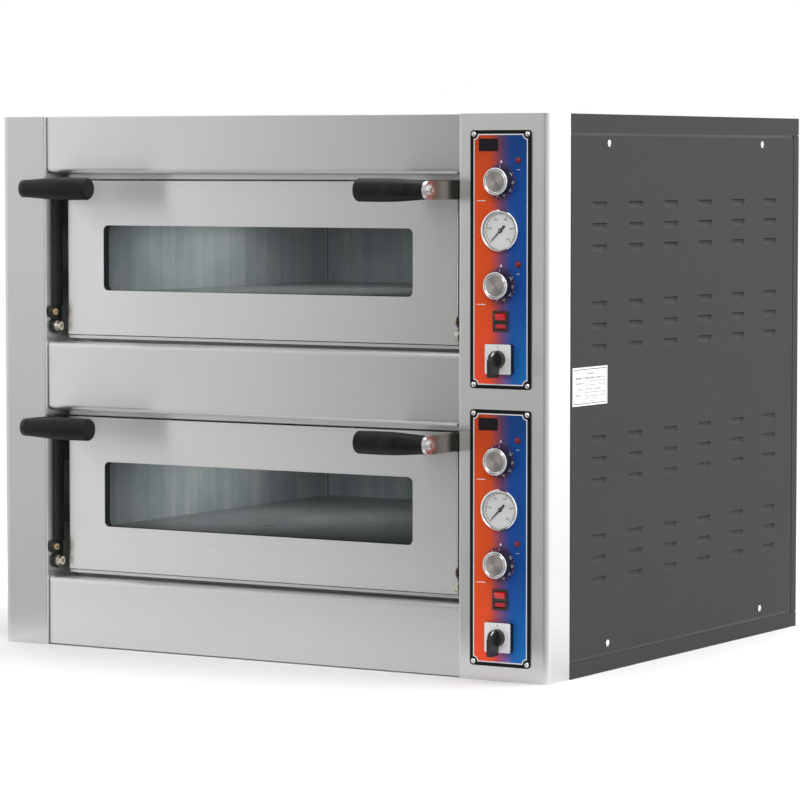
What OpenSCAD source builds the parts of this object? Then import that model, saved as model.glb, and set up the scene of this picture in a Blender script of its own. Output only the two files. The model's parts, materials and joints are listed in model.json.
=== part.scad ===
// Two-deck electric pizza oven for a worktop: two stone-floored chambers,
// two drop-down doors on side levers and one control column on the right.
// The front faces -Y, +Z is up, and the origin is the middle of the footprint
// on the surface that the oven stands on.

/* [Casing] */
// Width across both front pillars
body_w = 950; // [950:5:1000]
// Depth of the casing, without the door grips
body_d = 805; // [800:5:860]
// Height of the casing
body_h = 800; // [798:1:820]
// Width of the left pillar
pillar_w = 80; // [70:1:90]
// Width of the control pillar
control_w = 145.5; // [145:0.5:160]
// Thickness of the stainless front sheet
sheet = 1.2; // [1:0.1:1.5]
// Thickness of the painted casing sheet
skin = 1; // [0.8:0.1:1.2]
// Depth of the stainless return on each side
return_d = 62; // [50:1:70]
// Outer bend radius of the two front corners
bend_r = 9; // [5:0.5:12]
// Height of the skirt around the base tray
tray_h = 22.5; // [18:0.5:26]
// Height of the skirt around the top cover
cover_h = 26; // [20:1:30]

/* [Side louvres] */
// Length of one louvre
louvre_w = 45; // [35:1:55]
// Height of one louvre
louvre_h = 9.5; // [8:0.5:11]
// How deep a louvre is pressed in
louvre_deep = 3; // [3:0.5:5]
// Distance between louvres along the depth
louvre_step_y = 111; // [100:1:115]
// Distance between louvres in a group
louvre_step_z = 30.6; // [24:0.2:34]

/* [Decks] */
// Height of the lower door's bottom edge
lower_z = 115; // [112:1:118]
// Distance from the lower deck to the upper deck
deck_pitch = 357; // [355:1:359]
// Height of the gap above and below each door
door_gap = 10.5; // [9:0.5:12]
// Outer bend radius of the rolled fascia edges
roll_r = 8; // [5:0.5:9]

/* [Doors] */
// Width of a door
door_w = 688.5; // [680:0.5:689]
// Height of a door
door_h = 232; // [228:1:234]
// Thickness of a door
door_t = 42; // [40:1:42]
// How far a door face sits behind the pillars
door_set = 30; // [29:1:31]
// Width of a window
window_w = 544; // [500:1:560]
// Height of a window
window_h = 98; // [80:1:110]
// Corner radius of a window
window_r = 8; // [4:1:12]
// Depth from the door face to the outer pane
window_deep = 14; // [10:1:16]

/* [Levers and grips] */
// Width of a lever's flat bar, front to back
lever_d = 18.5; // [16:0.5:19]
// Thickness of a lever's flat bar
lever_t = 6; // [5:0.5:6]
// How far the grip axis stands in front of the pillars
grip_reach = 65; // [50:1:80]
// Length of a grip
grip_len = 113.5; // [100:0.5:130]
// Radius of a grip at its free end
grip_r = 16.5; // [15:0.5:18]
// Half the height of the handle bar
bar_r = 13.3; // [12:0.1:14]
// Diameter of a hinge screw's shoulder
pivot_d = 8; // [7:0.5:9]

/* [Controls] */
// Width of a control plate
plate_w = 98; // [96:1:100]
// Height of a control plate
plate_h = 363; // [360:1:366]
// Diameter of a thermostat knob's clear skirt
skirt_d = 50; // [44:1:54]
// Diameter of a thermostat knob's cap
knob_d = 38.5; // [34:0.5:42]
// Diameter of a gauge across its bezel
gauge_d = 60; // [56:1:64]
// Side of a cam switch plate
cam_w = 42; // [40:1:46]

/* [Chambers] */
// Inner width of a chamber
chamber_w = 626; // [600:1:630]
// Inner depth of a chamber
chamber_d = 638; // [600:1:640]
// Thickness of the stone floor
stone_t = 18; // [14:1:20]
// Diameter of a heating tube
tube_d = 8; // [7:0.5:8.5]

/* [Hidden] */

$fn = 48;
// A hair's breadth: gap between fitted pieces, and overshoot of cutting tools
fit = 0.1;
over = 1;
// Radial clearance of everything that turns in a bore
play = 0.05;

// Heights of the two decks, each measured at its door's bottom edge
upper_z = lower_z + deck_pitch;
decks = [lower_z, upper_z];
// Opening between the pillars, and its centre line
opening_x0 = pillar_w;
opening_x1 = body_w - control_w;
door_cx = (opening_x0 + opening_x1) / 2;
door_x0 = door_cx - door_w / 2;
// Pillar returns reach back to the front frame
frame_y = door_set + door_t + 3;
frame_t = 1.5;
// Height of the air gap under the cover's skirt and over the tray's skirt
seam = 5;
// Gap between the stainless returns and everything painted behind them
return_gap = 2;
panel_y0 = return_d + return_gap;
panel_y1 = body_d - 20;
panel_z0 = tray_h + seam;
panel_z1 = body_h - cover_h - seam;
panel_cy = (panel_y0 + panel_y1) / 2;
// Louvre groups: height of the middle slit of each, two groups beside each deck
louvre_groups = [169.5, 311.5, 503, 645];
// Height of a louvre's slit, and the radius that gives its height and depth
louvre_slit = 0.8;
louvre_r = (louvre_h * louvre_h + louvre_deep * louvre_deep) / (2 * louvre_deep);
// Casing screws: distance of the side screws from the panel's centre line
side_screw_dy = 249;
side_screw_z = [40.5, body_h - 41.5];
back_screw_z = [100, 400, 700];
back_screw_x = 14;
screw_shank = 4.8;
// Chassis tube section
tube_a = 25;
tube_b = 50;
tube_wall = 2;
tube_in = 1.3;
front_post_y = 20;
shelf_y = [150, 640];
// Door pivot, measured from the deck height
pivot_y = 19;
pivot_up = 12.5;
foot_y = 11;
foot_up = 34;
// Lever position, measured from the pillar's edge
lever_x = opening_x0 + 2;
lever_y = 14.5;
bar_x = lever_x + lever_t + 0.5;
bar_y1 = 2;
grip_up = 220.5;
// Window position, measured from the door's left and bottom edges
window_x = door_cx - window_w / 2 - 4;
window_up = 67;
seal_t = 3;
glass_t = 4;
// How far the liner's window reaches past the outer one, and the inner pane past both
sight_grow = 22;
pane_lap = 6;
// Screws in the door's long edges: spacing, distance behind the face, and radius
edge_screw_step = 162.4;
edge_screw_y = 7.5;
edge_screw_r = 1.5;
// Chamber position, measured from the deck height
chamber_x0 = door_cx - chamber_w / 2;
chamber_wall = 1.5;
chamber_up = 15;
chamber_top = 205.5;
mouth_up = 40;
stone_up = 44;
wool_x0 = 92;
wool_x1 = 792;
wool_y1 = 755;
wool_up = -40;
wool_top = 238;
element_up = [30, 190];
element_y = 160;
element_step = 140;
lamp_y = 250;
lamp_up = 150;
lamp_r = 22;
// Controls: plate corner and the height of each control below the plate's top
plate_x = body_w - 126;
plate_t = 1.5;
plate_tops = [776.5, 384];
control_x = plate_x + plate_w / 2 + 1;
roof_knob_drop = 71.8;
gauge_drop = 140.6;
floor_knob_drop = 217.5;
rocker_drop = 267.5;
cam_drop = 320.8;
lamp_drops = [42.2, 187.5];
led_x = control_x + 27.5;
led_r = 4.5;
plate_screw_in = 5.6;
spindle_r = 3;
bush_y0 = sheet + 4;
gauge_body_r = 27;
needle_pin_r = 1;
rocker_w = 24.3;
rocker_h = 29;
rocker_cut_w = 21;
rocker_cut_h = 25.6;
rocker_pivot_y = 3;
rocker_r = 11.5;
rocker_lean = 9;
cam_t = 9;
cam_hub_r = 12.5;
// Supply cable entry in the back panel
gland_x = 860;
gland_z = 85;
gland_bore_r = 7;
gland_thread_r = 12;

// ---------- Shared shapes ----------

// Moves corner coordinates to the origin in the middle of the footprint
module place() {
    translate([-body_w / 2, -body_d / 2, 0]) children();
}

// A shape and its mirror image about the door's centre line
module both_sides() {
    children();
    translate([2 * door_cx, 0, 0]) mirror([1, 0, 0]) children();
}

// A round bar along X, Y or Z that starts at the current place
module rod_x(r, len) {
    rotate([0, 90, 0]) cylinder(r = r, h = len);
}

module rod_y(r, len) {
    rotate([-90, 0, 0]) cylinder(r = r, h = len);
}

// A block with four rounded corners, thin along Y
module rounded_plate(w, t, h, r) {
    translate([r, 0, 0]) cube([w - 2 * r, t, h]);
    translate([0, 0, r]) cube([w, t, h - 2 * r]);
    for (x = [r, w - r], z = [r, h - r]) {
        translate([x, 0, z]) rod_y(r, t);
    }
}

// A quarter ring in the XY plane, from the -X side to the -Y side
module quarter_ring(r, t) {
    intersection() {
        difference() {
            circle(r = r);
            circle(r = r - t);
        }
        translate([-r - over, -r - over]) square(r + over);
    }
}

// A rectangular tube that starts at a corner and runs along one axis
module tube(size, wall, axis) {
    inner = [for (i = [0:2]) i == axis ? size[i] + 2 * over : size[i] - 2 * wall];
    corner = [for (i = [0:2]) i == axis ? -over : wall];
    difference() {
        cube(size);
        translate(corner) cube(inner);
    }
}

// A socket head with its hexagon, facing +X, seat at x = 0
module socket_head(head_r, head_h, key_r) {
    difference() {
        rod_x(head_r, head_h);
        translate([head_h * 0.4, 0, 0]) rotate([0, 90, 0]) cylinder(r = key_r, h = head_h, $fn = 6);
    }
}

// A domed head with a cross slot, facing -X, seat at x = 0
module pan_screw(head_r, head_h, shank_r, shank_len) {
    slot = head_r / 4;
    difference() {
        intersection() {
            translate([-head_h, 0, 0]) rod_x(head_r, head_h);
            translate([head_r - head_h + head_r * 0.5, 0, 0]) sphere(r = head_r * 1.5);
        }
        translate([-head_h - over, -slot / 2, -head_r * 0.6]) cube([head_h * 0.5 + over, slot, head_r * 1.2]);
        translate([-head_h - over, -head_r * 0.6, -slot / 2]) cube([head_h * 0.5 + over, head_r * 1.2, slot]);
    }
    rod_x(shank_r, shank_len);
}

// ---------- Casing ----------

module base_tray() {
    color("dimgray") place() {
        translate([0, panel_y0, 0]) cube([body_w, body_d - panel_y0, skin]);
        for (x = [0, body_w - skin]) {
            translate([x, panel_y0, 0]) cube([skin, body_d - panel_y0, tray_h]);
        }
        translate([0, body_d - skin, 0]) cube([body_w, skin, tray_h]);
    }
}

module top_cover() {
    tongue_y = 19.5;
    color("dimgray") place() {
        translate([0, panel_y0, body_h - skin]) cube([body_w, body_d - panel_y0, skin]);
        translate([opening_x0 + 2, tongue_y, body_h - skin]) {
            cube([opening_x1 - opening_x0 - 4, panel_y0 + over - tongue_y, skin]);
        }
        for (x = [0, body_w - skin]) {
            translate([x, panel_y0, body_h - cover_h]) cube([skin, body_d - panel_y0, cover_h]);
        }
        translate([0, body_d - skin, body_h - cover_h]) cube([body_w, skin, cover_h]);
    }
}

module back_panel() {
    flange = 18;
    z0 = tray_h + 1;
    height = body_h - cover_h - 1 - z0;
    slot_w = 60;
    slot_h = 5;
    color("dimgray") place() difference() {
        union() {
            translate([0, body_d - skin, z0]) cube([body_w, skin, height]);
            for (x = [0, body_w - skin]) {
                translate([x, body_d - flange, z0]) cube([skin, flange, height]);
            }
        }
        for (x = [230, 480, 730], k = [0:5]) {
            translate([x - slot_w / 2, body_d - skin - over, 560 + k * 22]) {
                cube([slot_w, skin + 2 * over, slot_h]);
            }
        }
        translate([gland_x, body_d - skin - over, gland_z]) rod_y(gland_thread_r + fit, skin + 2 * over);
        for (x = [back_screw_x, body_w - back_screw_x], z = back_screw_z) {
            translate([x, body_d - skin - over, z]) rod_y(screw_shank / 2 + 0.2, skin + 2 * over);
        }
    }
}

// Round-ended bar along Y whose axis lies in front of a panel at x = 0 that faces
// -X, cut off flat at height top: it reaches louvre_deep + grow behind the face
module louvre_form(grow, x0, top) {
    straight = louvre_w - 2 * louvre_h;
    r = louvre_r + grow;
    intersection() {
        translate([louvre_deep - louvre_r, 0, 0]) {
            translate([0, -straight / 2, 0]) rod_y(r, straight);
            for (k = [-1, 1]) {
                translate([0, k * straight / 2, 0]) sphere(r = r);
            }
        }
        translate([x0, -louvre_w, -2 * louvre_h]) cube([2 * louvre_deep, 2 * louvre_w, 2 * louvre_h + top]);
    }
}

// Places children at the slit of every louvre
module louvre_places() {
    for (k = [-2.5:1:2.5], g = louvre_groups, m = [-1:1]) {
        translate([0, panel_cy + 1.5 + k * louvre_step_y, g + m * louvre_step_z]) children();
    }
}

// Painted side with louvres: scoops pressed inward, each open along its top edge
module side_panel() {
    difference() {
        union() {
            translate([0, panel_y0, panel_z0]) cube([skin, panel_y1 - panel_y0, panel_z1 - panel_z0]);
            louvre_places() louvre_form(skin, skin / 2, -louvre_slit);
        }
        louvre_places() louvre_form(0, -over, 0);
        for (k = [-1, 1], z = side_screw_z) {
            translate([-over, panel_cy + k * side_screw_dy, z]) rod_x(screw_shank / 2 + 0.2, skin + 2 * over);
        }
    }
}

module left_side_panel() {
    color("dimgray") place() side_panel();
}

module right_side_panel() {
    color("dimgray") place() translate([body_w, 0, 0]) mirror([1, 0, 0]) side_panel();
}

module side_screws() {
    for (k = [-1, 1], z = side_screw_z) {
        translate([0, panel_cy + k * side_screw_dy, z]) pan_screw(5, 2.5, screw_shank / 2, 8);
    }
}

module casing_screws() {
    color("white") place() {
        side_screws();
        translate([body_w, 0, 0]) mirror([1, 0, 0]) side_screws();
        for (x = [back_screw_x, body_w - back_screw_x], z = back_screw_z) {
            translate([x, body_d, z]) rotate([0, 0, -90]) pan_screw(5, 2.5, screw_shank / 2, 8);
        }
    }
}

// ---------- Pillars and fascias ----------

// Plan outline of a pillar: outer return on the left, inner return on the right
module pillar_outline(w) {
    inner_r = 2.5;
    translate([bend_r, 0]) square([w - bend_r - inner_r, sheet]);
    translate([bend_r, bend_r]) quarter_ring(bend_r, sheet);
    translate([0, bend_r]) square([sheet, return_d - bend_r]);
    translate([w - inner_r, inner_r]) mirror([1, 0]) quarter_ring(inner_r, sheet);
    translate([w - sheet, inner_r]) square([sheet, frame_y - fit - inner_r]);
}

module pillar_sheet(w) {
    linear_extrude(height = body_h) pillar_outline(w);
    for (z = [0, body_h - sheet]) {
        translate([sheet / 2, sheet / 2, z]) cube([w - 1.5 * sheet, return_d - sheet, sheet]);
        translate([bend_r / 3, bend_r / 3, z]) cube([w - bend_r, bend_r, sheet]);
    }
}

module hinge_holes(x) {
    for (z0 = decks) {
        translate([x - over, pivot_y, z0 + pivot_up]) rod_x(pivot_d / 2 - 0.9, sheet + 2 * over);
    }
}

// Notches in an inner return: front cross tube, top cover and base tray
module return_notches(w) {
    depth = frame_y - return_d;
    x = w - sheet - over;
    wide = sheet + 2 * over;
    tube_z = body_h - skin - 1 - tube_a - 0.5;
    translate([x, front_post_y - 0.5, tube_z]) cube([wide, tube_a + 1, body_h - sheet - tube_z]);
    for (z = [-over, body_h - skin - 1]) {
        translate([x, return_d, z]) cube([wide, depth, skin + 1 + over]);
    }
}

module left_pillar() {
    color("gainsboro") place() difference() {
        intersection() {
            pillar_sheet(pillar_w);
            pillar_envelope(pillar_w);
        }
        return_notches(pillar_w);
        hinge_holes(pillar_w - sheet);
    }
}

// Trims the end flanges to the rounded front corner
module pillar_envelope(w) {
    translate([bend_r, 0, 0]) cube([w - bend_r, frame_y, body_h]);
    translate([0, bend_r, 0]) cube([w, frame_y, body_h]);
    translate([bend_r, bend_r, 0]) cylinder(r = bend_r, h = body_h);
}

module control_pillar() {
    color("gainsboro") place() difference() {
        translate([body_w, 0, 0]) mirror([1, 0, 0]) intersection() {
            pillar_sheet(control_w);
            pillar_envelope(control_w);
        }
        translate([body_w, 0, 0]) mirror([1, 0, 0]) return_notches(control_w);
        hinge_holes(opening_x1);
        for (top = plate_tops) {
            control_cutouts(top, -over, sheet + 2 * over);
            plate_screw_places(top) translate([0, -over, 0]) rod_y(1.7, sheet + 2 * over);
        }
    }
}

// Side profile of a fascia in the YZ plane, drawn with Y to the right
module fascia_outline(height, r0, d0, r1, d1) {
    translate([0, r0]) square([sheet, height - r0 - r1]);
    translate([r0, r0]) quarter_ring(r0, sheet);
    translate([r0, 0]) square([d0 - r0, sheet]);
    translate([r1, height - r1]) mirror([0, 1]) quarter_ring(r1, sheet);
    translate([r1, height - sheet]) square([d1 - r1, sheet]);
}

module fascia(z0, z1, r0, d0, r1, d1) {
    set_back = 5;
    end_gap = 1;
    length = opening_x1 - opening_x0 - 2 * end_gap;
    translate([opening_x0 + end_gap, set_back, z0]) {
        rotate([90, 0, 90]) linear_extrude(height = length) fascia_outline(z1 - z0, r0, d0, r1, d1);
    }
}

// Depth of a fascia flange at a door, and at the casing's own edge
door_flange = 26;
edge_flange = 14;
edge_r = 1.6;

module top_fascia() {
    color("silver") place() {
        fascia(upper_z + door_h + door_gap, body_h, roll_r, door_flange, edge_r, edge_flange);
    }
}

module middle_fascia() {
    color("silver") place() {
        fascia(lower_z + door_h + door_gap, upper_z - door_gap, roll_r, door_flange, roll_r, door_flange);
    }
}

module bottom_fascia() {
    color("silver") place() {
        fascia(1.5, lower_z - door_gap, edge_r, edge_flange, roll_r, door_flange);
    }
}

module rating_plate() {
    color("white") place() {
        translate([body_w, panel_y0 + 4.5, 387]) cube([0.6, 103, 54.5]);
    }
}

// ---------- Frame ----------

module chassis_frame() {
    right_x = body_w - tube_a - tube_in;
    rear_y = body_d - skin - 0.5 - tube_a;
    span = rear_y - front_post_y + tube_a;
    color("#303030") place() difference() {
        union() {
            for (x = [tube_in, right_x], y = [front_post_y, rear_y]) {
                translate([x, y, sheet]) tube([tube_a, tube_a, body_h - sheet - skin - 1], tube_wall, 2);
            }
            for (x = [tube_in, right_x], z = [sheet, body_h - skin - 1 - tube_b]) {
                translate([x, front_post_y, z]) tube([tube_a, span, tube_b], tube_wall, 1);
            }
            for (x = [tube_in, right_x], z0 = decks) {
                translate([x, front_post_y, z0 + wool_up - tube_a]) {
                    tube([tube_a, span, tube_a], tube_wall, 1);
                }
            }
            for (y = shelf_y, z0 = decks) {
                translate([tube_in, y, z0 + wool_up - tube_a]) {
                    tube([body_w - 2 * tube_in, tube_a, tube_a], tube_wall, 0);
                }
            }
            translate([tube_in, rear_y, sheet]) tube([body_w - 2 * tube_in, tube_a, tube_a], tube_wall, 0);
            for (y = [front_post_y, rear_y]) {
                translate([tube_in, y, body_h - skin - 1 - tube_a]) {
                    tube([body_w - 2 * tube_in, tube_a, tube_a], tube_wall, 0);
                }
            }
        }
        for (k = [-1, 1], z = side_screw_z) {
            translate([-over, panel_cy + k * side_screw_dy, z]) rod_x(screw_shank / 2 + fit, 14);
            translate([body_w - 13, panel_cy + k * side_screw_dy, z]) rod_x(screw_shank / 2 + fit, 14);
        }
        for (x = [back_screw_x, body_w - back_screw_x], z = back_screw_z) {
            translate([x, body_d - 13, z]) rod_y(screw_shank / 2 + fit, 14);
        }
    }
}

// Stainless plate with both chamber mouths, and the rails around each door
module front_frame() {
    rail_x0 = door_x0 + 1;
    rail_w = door_w - 2;
    rail_y = door_set + 4;
    rail_d = frame_y - rail_y + sheet / 2;
    color("lightgray") place() difference() {
        union() {
            translate([opening_x0 + 1, frame_y, 35]) {
                cube([opening_x1 - opening_x0 - 2, frame_t, body_h - 85]);
            }
            for (z0 = decks) {
                translate([rail_x0, rail_y, z0 + door_h + 2.5]) cube([rail_w, sheet, door_gap - 3]);
                translate([rail_x0, rail_y, z0 + door_h + door_gap - 0.5 - sheet]) {
                    cube([rail_w, rail_d, sheet]);
                }
                translate([rail_x0, rail_y, z0 - 6]) cube([rail_w, sheet, 4.5]);
                translate([rail_x0, rail_y, z0 - 6]) cube([rail_w, rail_d, sheet]);
            }
        }
        for (z0 = decks) {
            translate([chamber_x0, frame_y - over, z0 + mouth_up]) {
                cube([chamber_w, frame_t + 2 * over, chamber_top - mouth_up]);
            }
        }
    }
}

// ---------- Chambers ----------

// Everything that passes through a chamber's right-hand wall
module chamber_ports(z0, slack) {
    x = chamber_x0 + chamber_w;
    for (up = element_up, k = [0, 3]) {
        translate([x - over, element_y + k * element_step, z0 + up]) {
            rod_x(tube_d / 2 + slack, wool_x1 - x + 2 * over);
        }
    }
    translate([x - over, lamp_y, z0 + lamp_up]) rod_x(lamp_r + slack, wool_x1 - x + 2 * over);
}

module chamber(z0) {
    x0 = chamber_x0 - chamber_wall;
    y0 = frame_y + frame_t + fit;
    w = chamber_w + 2 * chamber_wall;
    h = chamber_top - chamber_up + 2 * chamber_wall;
    z = z0 + chamber_up - chamber_wall;
    ledge = 14;
    difference() {
        translate([x0, y0, z]) cube([w, chamber_d + chamber_wall, h]);
        translate([chamber_x0, y0 - over, z0 + chamber_up]) {
            cube([chamber_w, chamber_d + over, chamber_top - chamber_up]);
        }
        chamber_ports(z0, 0.4);
    }
    translate([chamber_x0 - chamber_wall / 2, y0, z]) {
        cube([chamber_w + chamber_wall, chamber_wall, stone_up + z0 - z - fit]);
    }
    for (y = [y0, y0 + chamber_d - ledge]) {
        translate([chamber_x0 - chamber_wall / 2, y, z0 + stone_up - chamber_wall - fit]) {
            cube([chamber_w + chamber_wall, ledge + chamber_wall / 2, chamber_wall]);
        }
    }
}

module upper_chamber() {
    color("slategray") place() chamber(upper_z);
}

module lower_chamber() {
    color("slategray") place() chamber(lower_z);
}

module insulation_block(z0) {
    y0 = frame_y + frame_t + 0.5;
    slack = chamber_wall + 0.5;
    difference() {
        translate([wool_x0, y0, z0 + wool_up]) cube([wool_x1 - wool_x0, wool_y1 - y0, wool_top - wool_up]);
        translate([chamber_x0 - slack, y0 - over, z0 + chamber_up - slack]) {
            cube([chamber_w + 2 * slack, chamber_d + 2 * slack + over, chamber_top - chamber_up + 2 * slack]);
        }
        chamber_ports(z0, 1);
    }
}

module chamber_insulation() {
    color("khaki") place() {
        for (z0 = decks) insulation_block(z0);
    }
}

module floor_stones() {
    joint = 1;
    side = 3;
    tile_w = (chamber_w - 2 * side - joint) / 2;
    tile_d = chamber_d - 2 * side;
    color("tan") place() {
        for (z0 = decks, k = [0, 1]) {
            translate([chamber_x0 + side + k * (tile_w + joint), frame_y + frame_t + side, z0 + stone_up]) {
                cube([tile_w, tile_d, stone_t]);
            }
        }
    }
}

// A four-pass tube in one plane, both ends leaving on the right
module heating_element() {
    r = element_step / 2;
    x_left = chamber_x0 + 92;
    x_right = chamber_x0 + chamber_w - 92;
    x_end = wool_x1 + 8;
    for (k = [0, 3]) {
        translate([x_left, k * element_step, 0]) rod_x(tube_d / 2, x_end - x_left);
    }
    for (k = [1, 2]) {
        translate([x_left, k * element_step, 0]) rod_x(tube_d / 2, x_right - x_left);
    }
    for (k = [0, 2]) {
        translate([x_left, r + k * element_step, 0]) rotate([0, 0, 90]) tube_bend(r);
    }
    translate([x_right, 3 * r, 0]) rotate([0, 0, -90]) tube_bend(r);
}

module tube_bend(r) {
    rotate_extrude(angle = 180) translate([r, 0]) circle(r = tube_d / 2, $fn = 24);
}

module heating_elements() {
    color("darkslategray") place() {
        for (z0 = decks, up = element_up) {
            translate([0, element_y, z0 + up]) heating_element();
        }
    }
}

module oven_lamps() {
    wall_x = chamber_x0 + chamber_w;
    flange_r = lamp_r + 5;
    color("lightyellow") place() {
        for (z0 = decks) {
            translate([wall_x, lamp_y, z0 + lamp_up]) {
                rod_x(lamp_r - fit, 32);
                translate([-3, 0, 0]) rod_x(flange_r, 3 - fit);
                translate([-3, 0, 0]) intersection() {
                    translate([20, 0, 0]) sphere(r = 29);
                    translate([-12, -30, -30]) cube([13, 60, 60]);
                }
                translate([-1, 0, 0]) rod_x(lamp_r - 2, 3);
            }
        }
    }
}

// ---------- Controls ----------

// Places children at the four plate screws
module plate_screw_places(top) {
    for (x = [plate_screw_in, plate_w - plate_screw_in], z = [plate_screw_in, plate_h - plate_screw_in]) {
        translate([plate_x + x, 0, top - z]) children();
    }
}

// Holes for one deck's controls, from y over a length
module control_cutouts(top, y, length) {
    for (drop = [roof_knob_drop, floor_knob_drop]) {
        translate([control_x, y, top - drop]) rod_y(spindle_r + 2.5, length);
    }
    translate([control_x, y, top - gauge_drop]) rod_y(gauge_body_r + 0.3, length);
    for (drop = lamp_drops) {
        translate([led_x, y, top - drop]) rod_y(led_r - 0.8, length);
    }
    translate([control_x - rocker_cut_w / 2, y, top - rocker_drop - rocker_cut_h / 2]) {
        cube([rocker_cut_w, length, rocker_cut_h]);
    }
    translate([control_x, y, top - cam_drop]) rod_y(cam_hub_r - 1.5, length);
}

module control_plate(top) {
    difference() {
        translate([plate_x, -plate_t, top - plate_h]) rounded_plate(plate_w, plate_t, plate_h, 5);
        control_cutouts(top, -plate_t - over, plate_t + 2 * over);
        plate_screw_places(top) translate([0, -plate_t - over, 0]) rod_y(1.7, plate_t + 2 * over);
    }
}

module upper_control_plate() {
    color("orangered") place() control_plate(plate_tops[0]);
}

module lower_control_plate() {
    color("orangered") place() control_plate(plate_tops[1]);
}

module plate_screws() {
    color("white") place() {
        for (top = plate_tops) {
            plate_screw_places(top) translate([0, -plate_t, 0]) {
                rotate([0, 0, 90]) pan_screw(3.6, 1.8, 1.5, 8);
            }
        }
    }
}

module thermostat() {
    body = [40, 32, 38];
    difference() {
        union() {
            translate([-body[0] / 2, bush_y0, -body[2] / 2]) cube(body);
            translate([0, sheet + fit, 0]) rod_y(8, bush_y0);
            translate([0, -plate_t, 0]) rod_y(spindle_r + 2, bush_y0);
        }
        translate([0, -plate_t - over, 0]) rod_y(spindle_r + play, 26);
    }
    for (x = [-12, 12]) {
        translate([x - 3, bush_y0 + body[1] - over, -1]) cube([6, 8 + over, 2]);
    }
}

module thermostats() {
    color("dimgray") place() {
        for (top = plate_tops, drop = [roof_knob_drop, floor_knob_drop]) {
            translate([control_x, 0, top - drop]) thermostat();
        }
    }
}

// Profile of a knob: radius against height above the plate
module knob_profile() {
    rim = knob_d / 2;
    skirt = skirt_d / 2;
    polygon([[0, 1.5], [skirt - 1, 1.5], [skirt, 2.5], [skirt, 3.6], [rim - 1, 4.6], [rim - 0.5, 15],
        [rim, 15.5], [rim, 17.5], [rim - 1, 18.5], [rim - 2.5, 18.5], [rim - 3, 17.9], [0, 17.9]]);
}

module knob(drop_z) {
    spindle_len = 22;
    translate([control_x, -plate_t, drop_z]) {
        rotate([90, 0, 0]) rotate_extrude($fn = 64) knob_profile();
        translate([0, -2, 0]) rod_y(spindle_r, spindle_len + 2);
    }
}

module upper_roof_knob() {
    color("silver") place() knob(plate_tops[0] - roof_knob_drop);
}

module upper_floor_knob() {
    color("silver") place() knob(plate_tops[0] - floor_knob_drop);
}

module lower_roof_knob() {
    color("silver") place() knob(plate_tops[1] - roof_knob_drop);
}

module lower_floor_knob() {
    color("silver") place() knob(plate_tops[1] - floor_knob_drop);
}

// Gauge: a cup with a bezel in front of the plate and a pin for the needle
gauge_front = 7.5;
dial_y = 1.5;
glass_y = 5.2;

module gauge_case() {
    depth = 26;
    translate([0, -plate_t, 0]) difference() {
        union() {
            rotate([90, 0, 0]) cylinder(r1 = gauge_d / 2, r2 = gauge_d / 2 - 1.2, h = gauge_front);
            rod_y(gauge_body_r, depth);
        }
        translate([0, -gauge_front - over, 0]) rod_y(gauge_d / 2 - 4, gauge_front - dial_y + over);
    }
    translate([0, -plate_t - dial_y - 2.2, 0]) rod_y(needle_pin_r, 2.2 + over);
}

module gauge_cases() {
    color("silver") place() {
        for (top = plate_tops) {
            translate([control_x, 0, top - gauge_drop]) gauge_case();
        }
    }
}

module gauge_glasses() {
    color("azure", 0.4) place() {
        for (top = plate_tops) {
            translate([control_x, -plate_t - glass_y - 1.5, top - gauge_drop]) {
                rod_y(gauge_d / 2 - 4 - fit, 1.5);
            }
        }
    }
}

// The needle rests on the dial's first mark, low on the left
needle_rest = 135;

module gauge_needle(top) {
    hub_r = 3;
    y = -plate_t - dial_y - 1.8;
    translate([control_x, y, top - gauge_drop]) difference() {
        union() {
            rod_y(hub_r, 1.2);
            rotate([0, -needle_rest, 0]) translate([0, 0.2, 0]) rotate([-90, 0, 0]) {
                linear_extrude(height = 0.8) {
                    polygon([[-1, 0], [-0.35, -20], [0.35, -20], [1, 0], [1.4, 10], [-1.4, 10]]);
                }
            }
        }
        translate([0, -over, 0]) rod_y(needle_pin_r + play, 1.2 + 2 * over);
    }
}

module upper_gauge_needle() {
    color("black") place() gauge_needle(plate_tops[0]);
}

module lower_gauge_needle() {
    color("black") place() gauge_needle(plate_tops[1]);
}

module indicator_lamp() {
    translate([0, -plate_t, 0]) {
        rotate([90, 0, 0]) cylinder(r1 = led_r, r2 = led_r - 0.6, h = 2.4);
        translate([0, -2.4, 0]) intersection() {
            translate([0, 4.2, 0]) sphere(r = 5.6);
            translate([-led_r, -2, -led_r]) cube([2 * led_r, 2.2, 2 * led_r]);
        }
        rod_y(led_r - 1, 22);
    }
}

module indicator_lamps() {
    color("red") place() {
        for (top = plate_tops, drop = lamp_drops) {
            translate([led_x, 0, top - drop]) indicator_lamp();
        }
    }
}

module rocker_housing() {
    bezel_t = 2;
    wall = 2;
    body_d1 = 22;
    translate([0, -plate_t, 0]) difference() {
        union() {
            translate([-rocker_w / 2, -bezel_t, -rocker_h / 2]) cube([rocker_w, bezel_t, rocker_h]);
            translate([-rocker_cut_w / 2 + fit, -over, -rocker_cut_h / 2 + fit]) {
                cube([rocker_cut_w - 2 * fit, body_d1 + over, rocker_cut_h - 2 * fit]);
            }
        }
        translate([-rocker_cut_w / 2 + wall, -bezel_t - over, -rocker_cut_h / 2 + wall - 0.9]) {
            cube([rocker_cut_w - 2 * wall, body_d1 - wall + over, rocker_cut_h - 2 * wall + 1.8]);
        }
        translate([-rocker_cut_w / 2 + wall - 1.2, rocker_pivot_y, 0]) {
            rod_x(1.5 + play, rocker_cut_w - 2 * wall + 2.4);
        }
    }
}

module rocker_housings() {
    color("black") place() {
        for (top = plate_tops) {
            translate([control_x, 0, top - rocker_drop]) rocker_housing();
        }
    }
}

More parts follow.
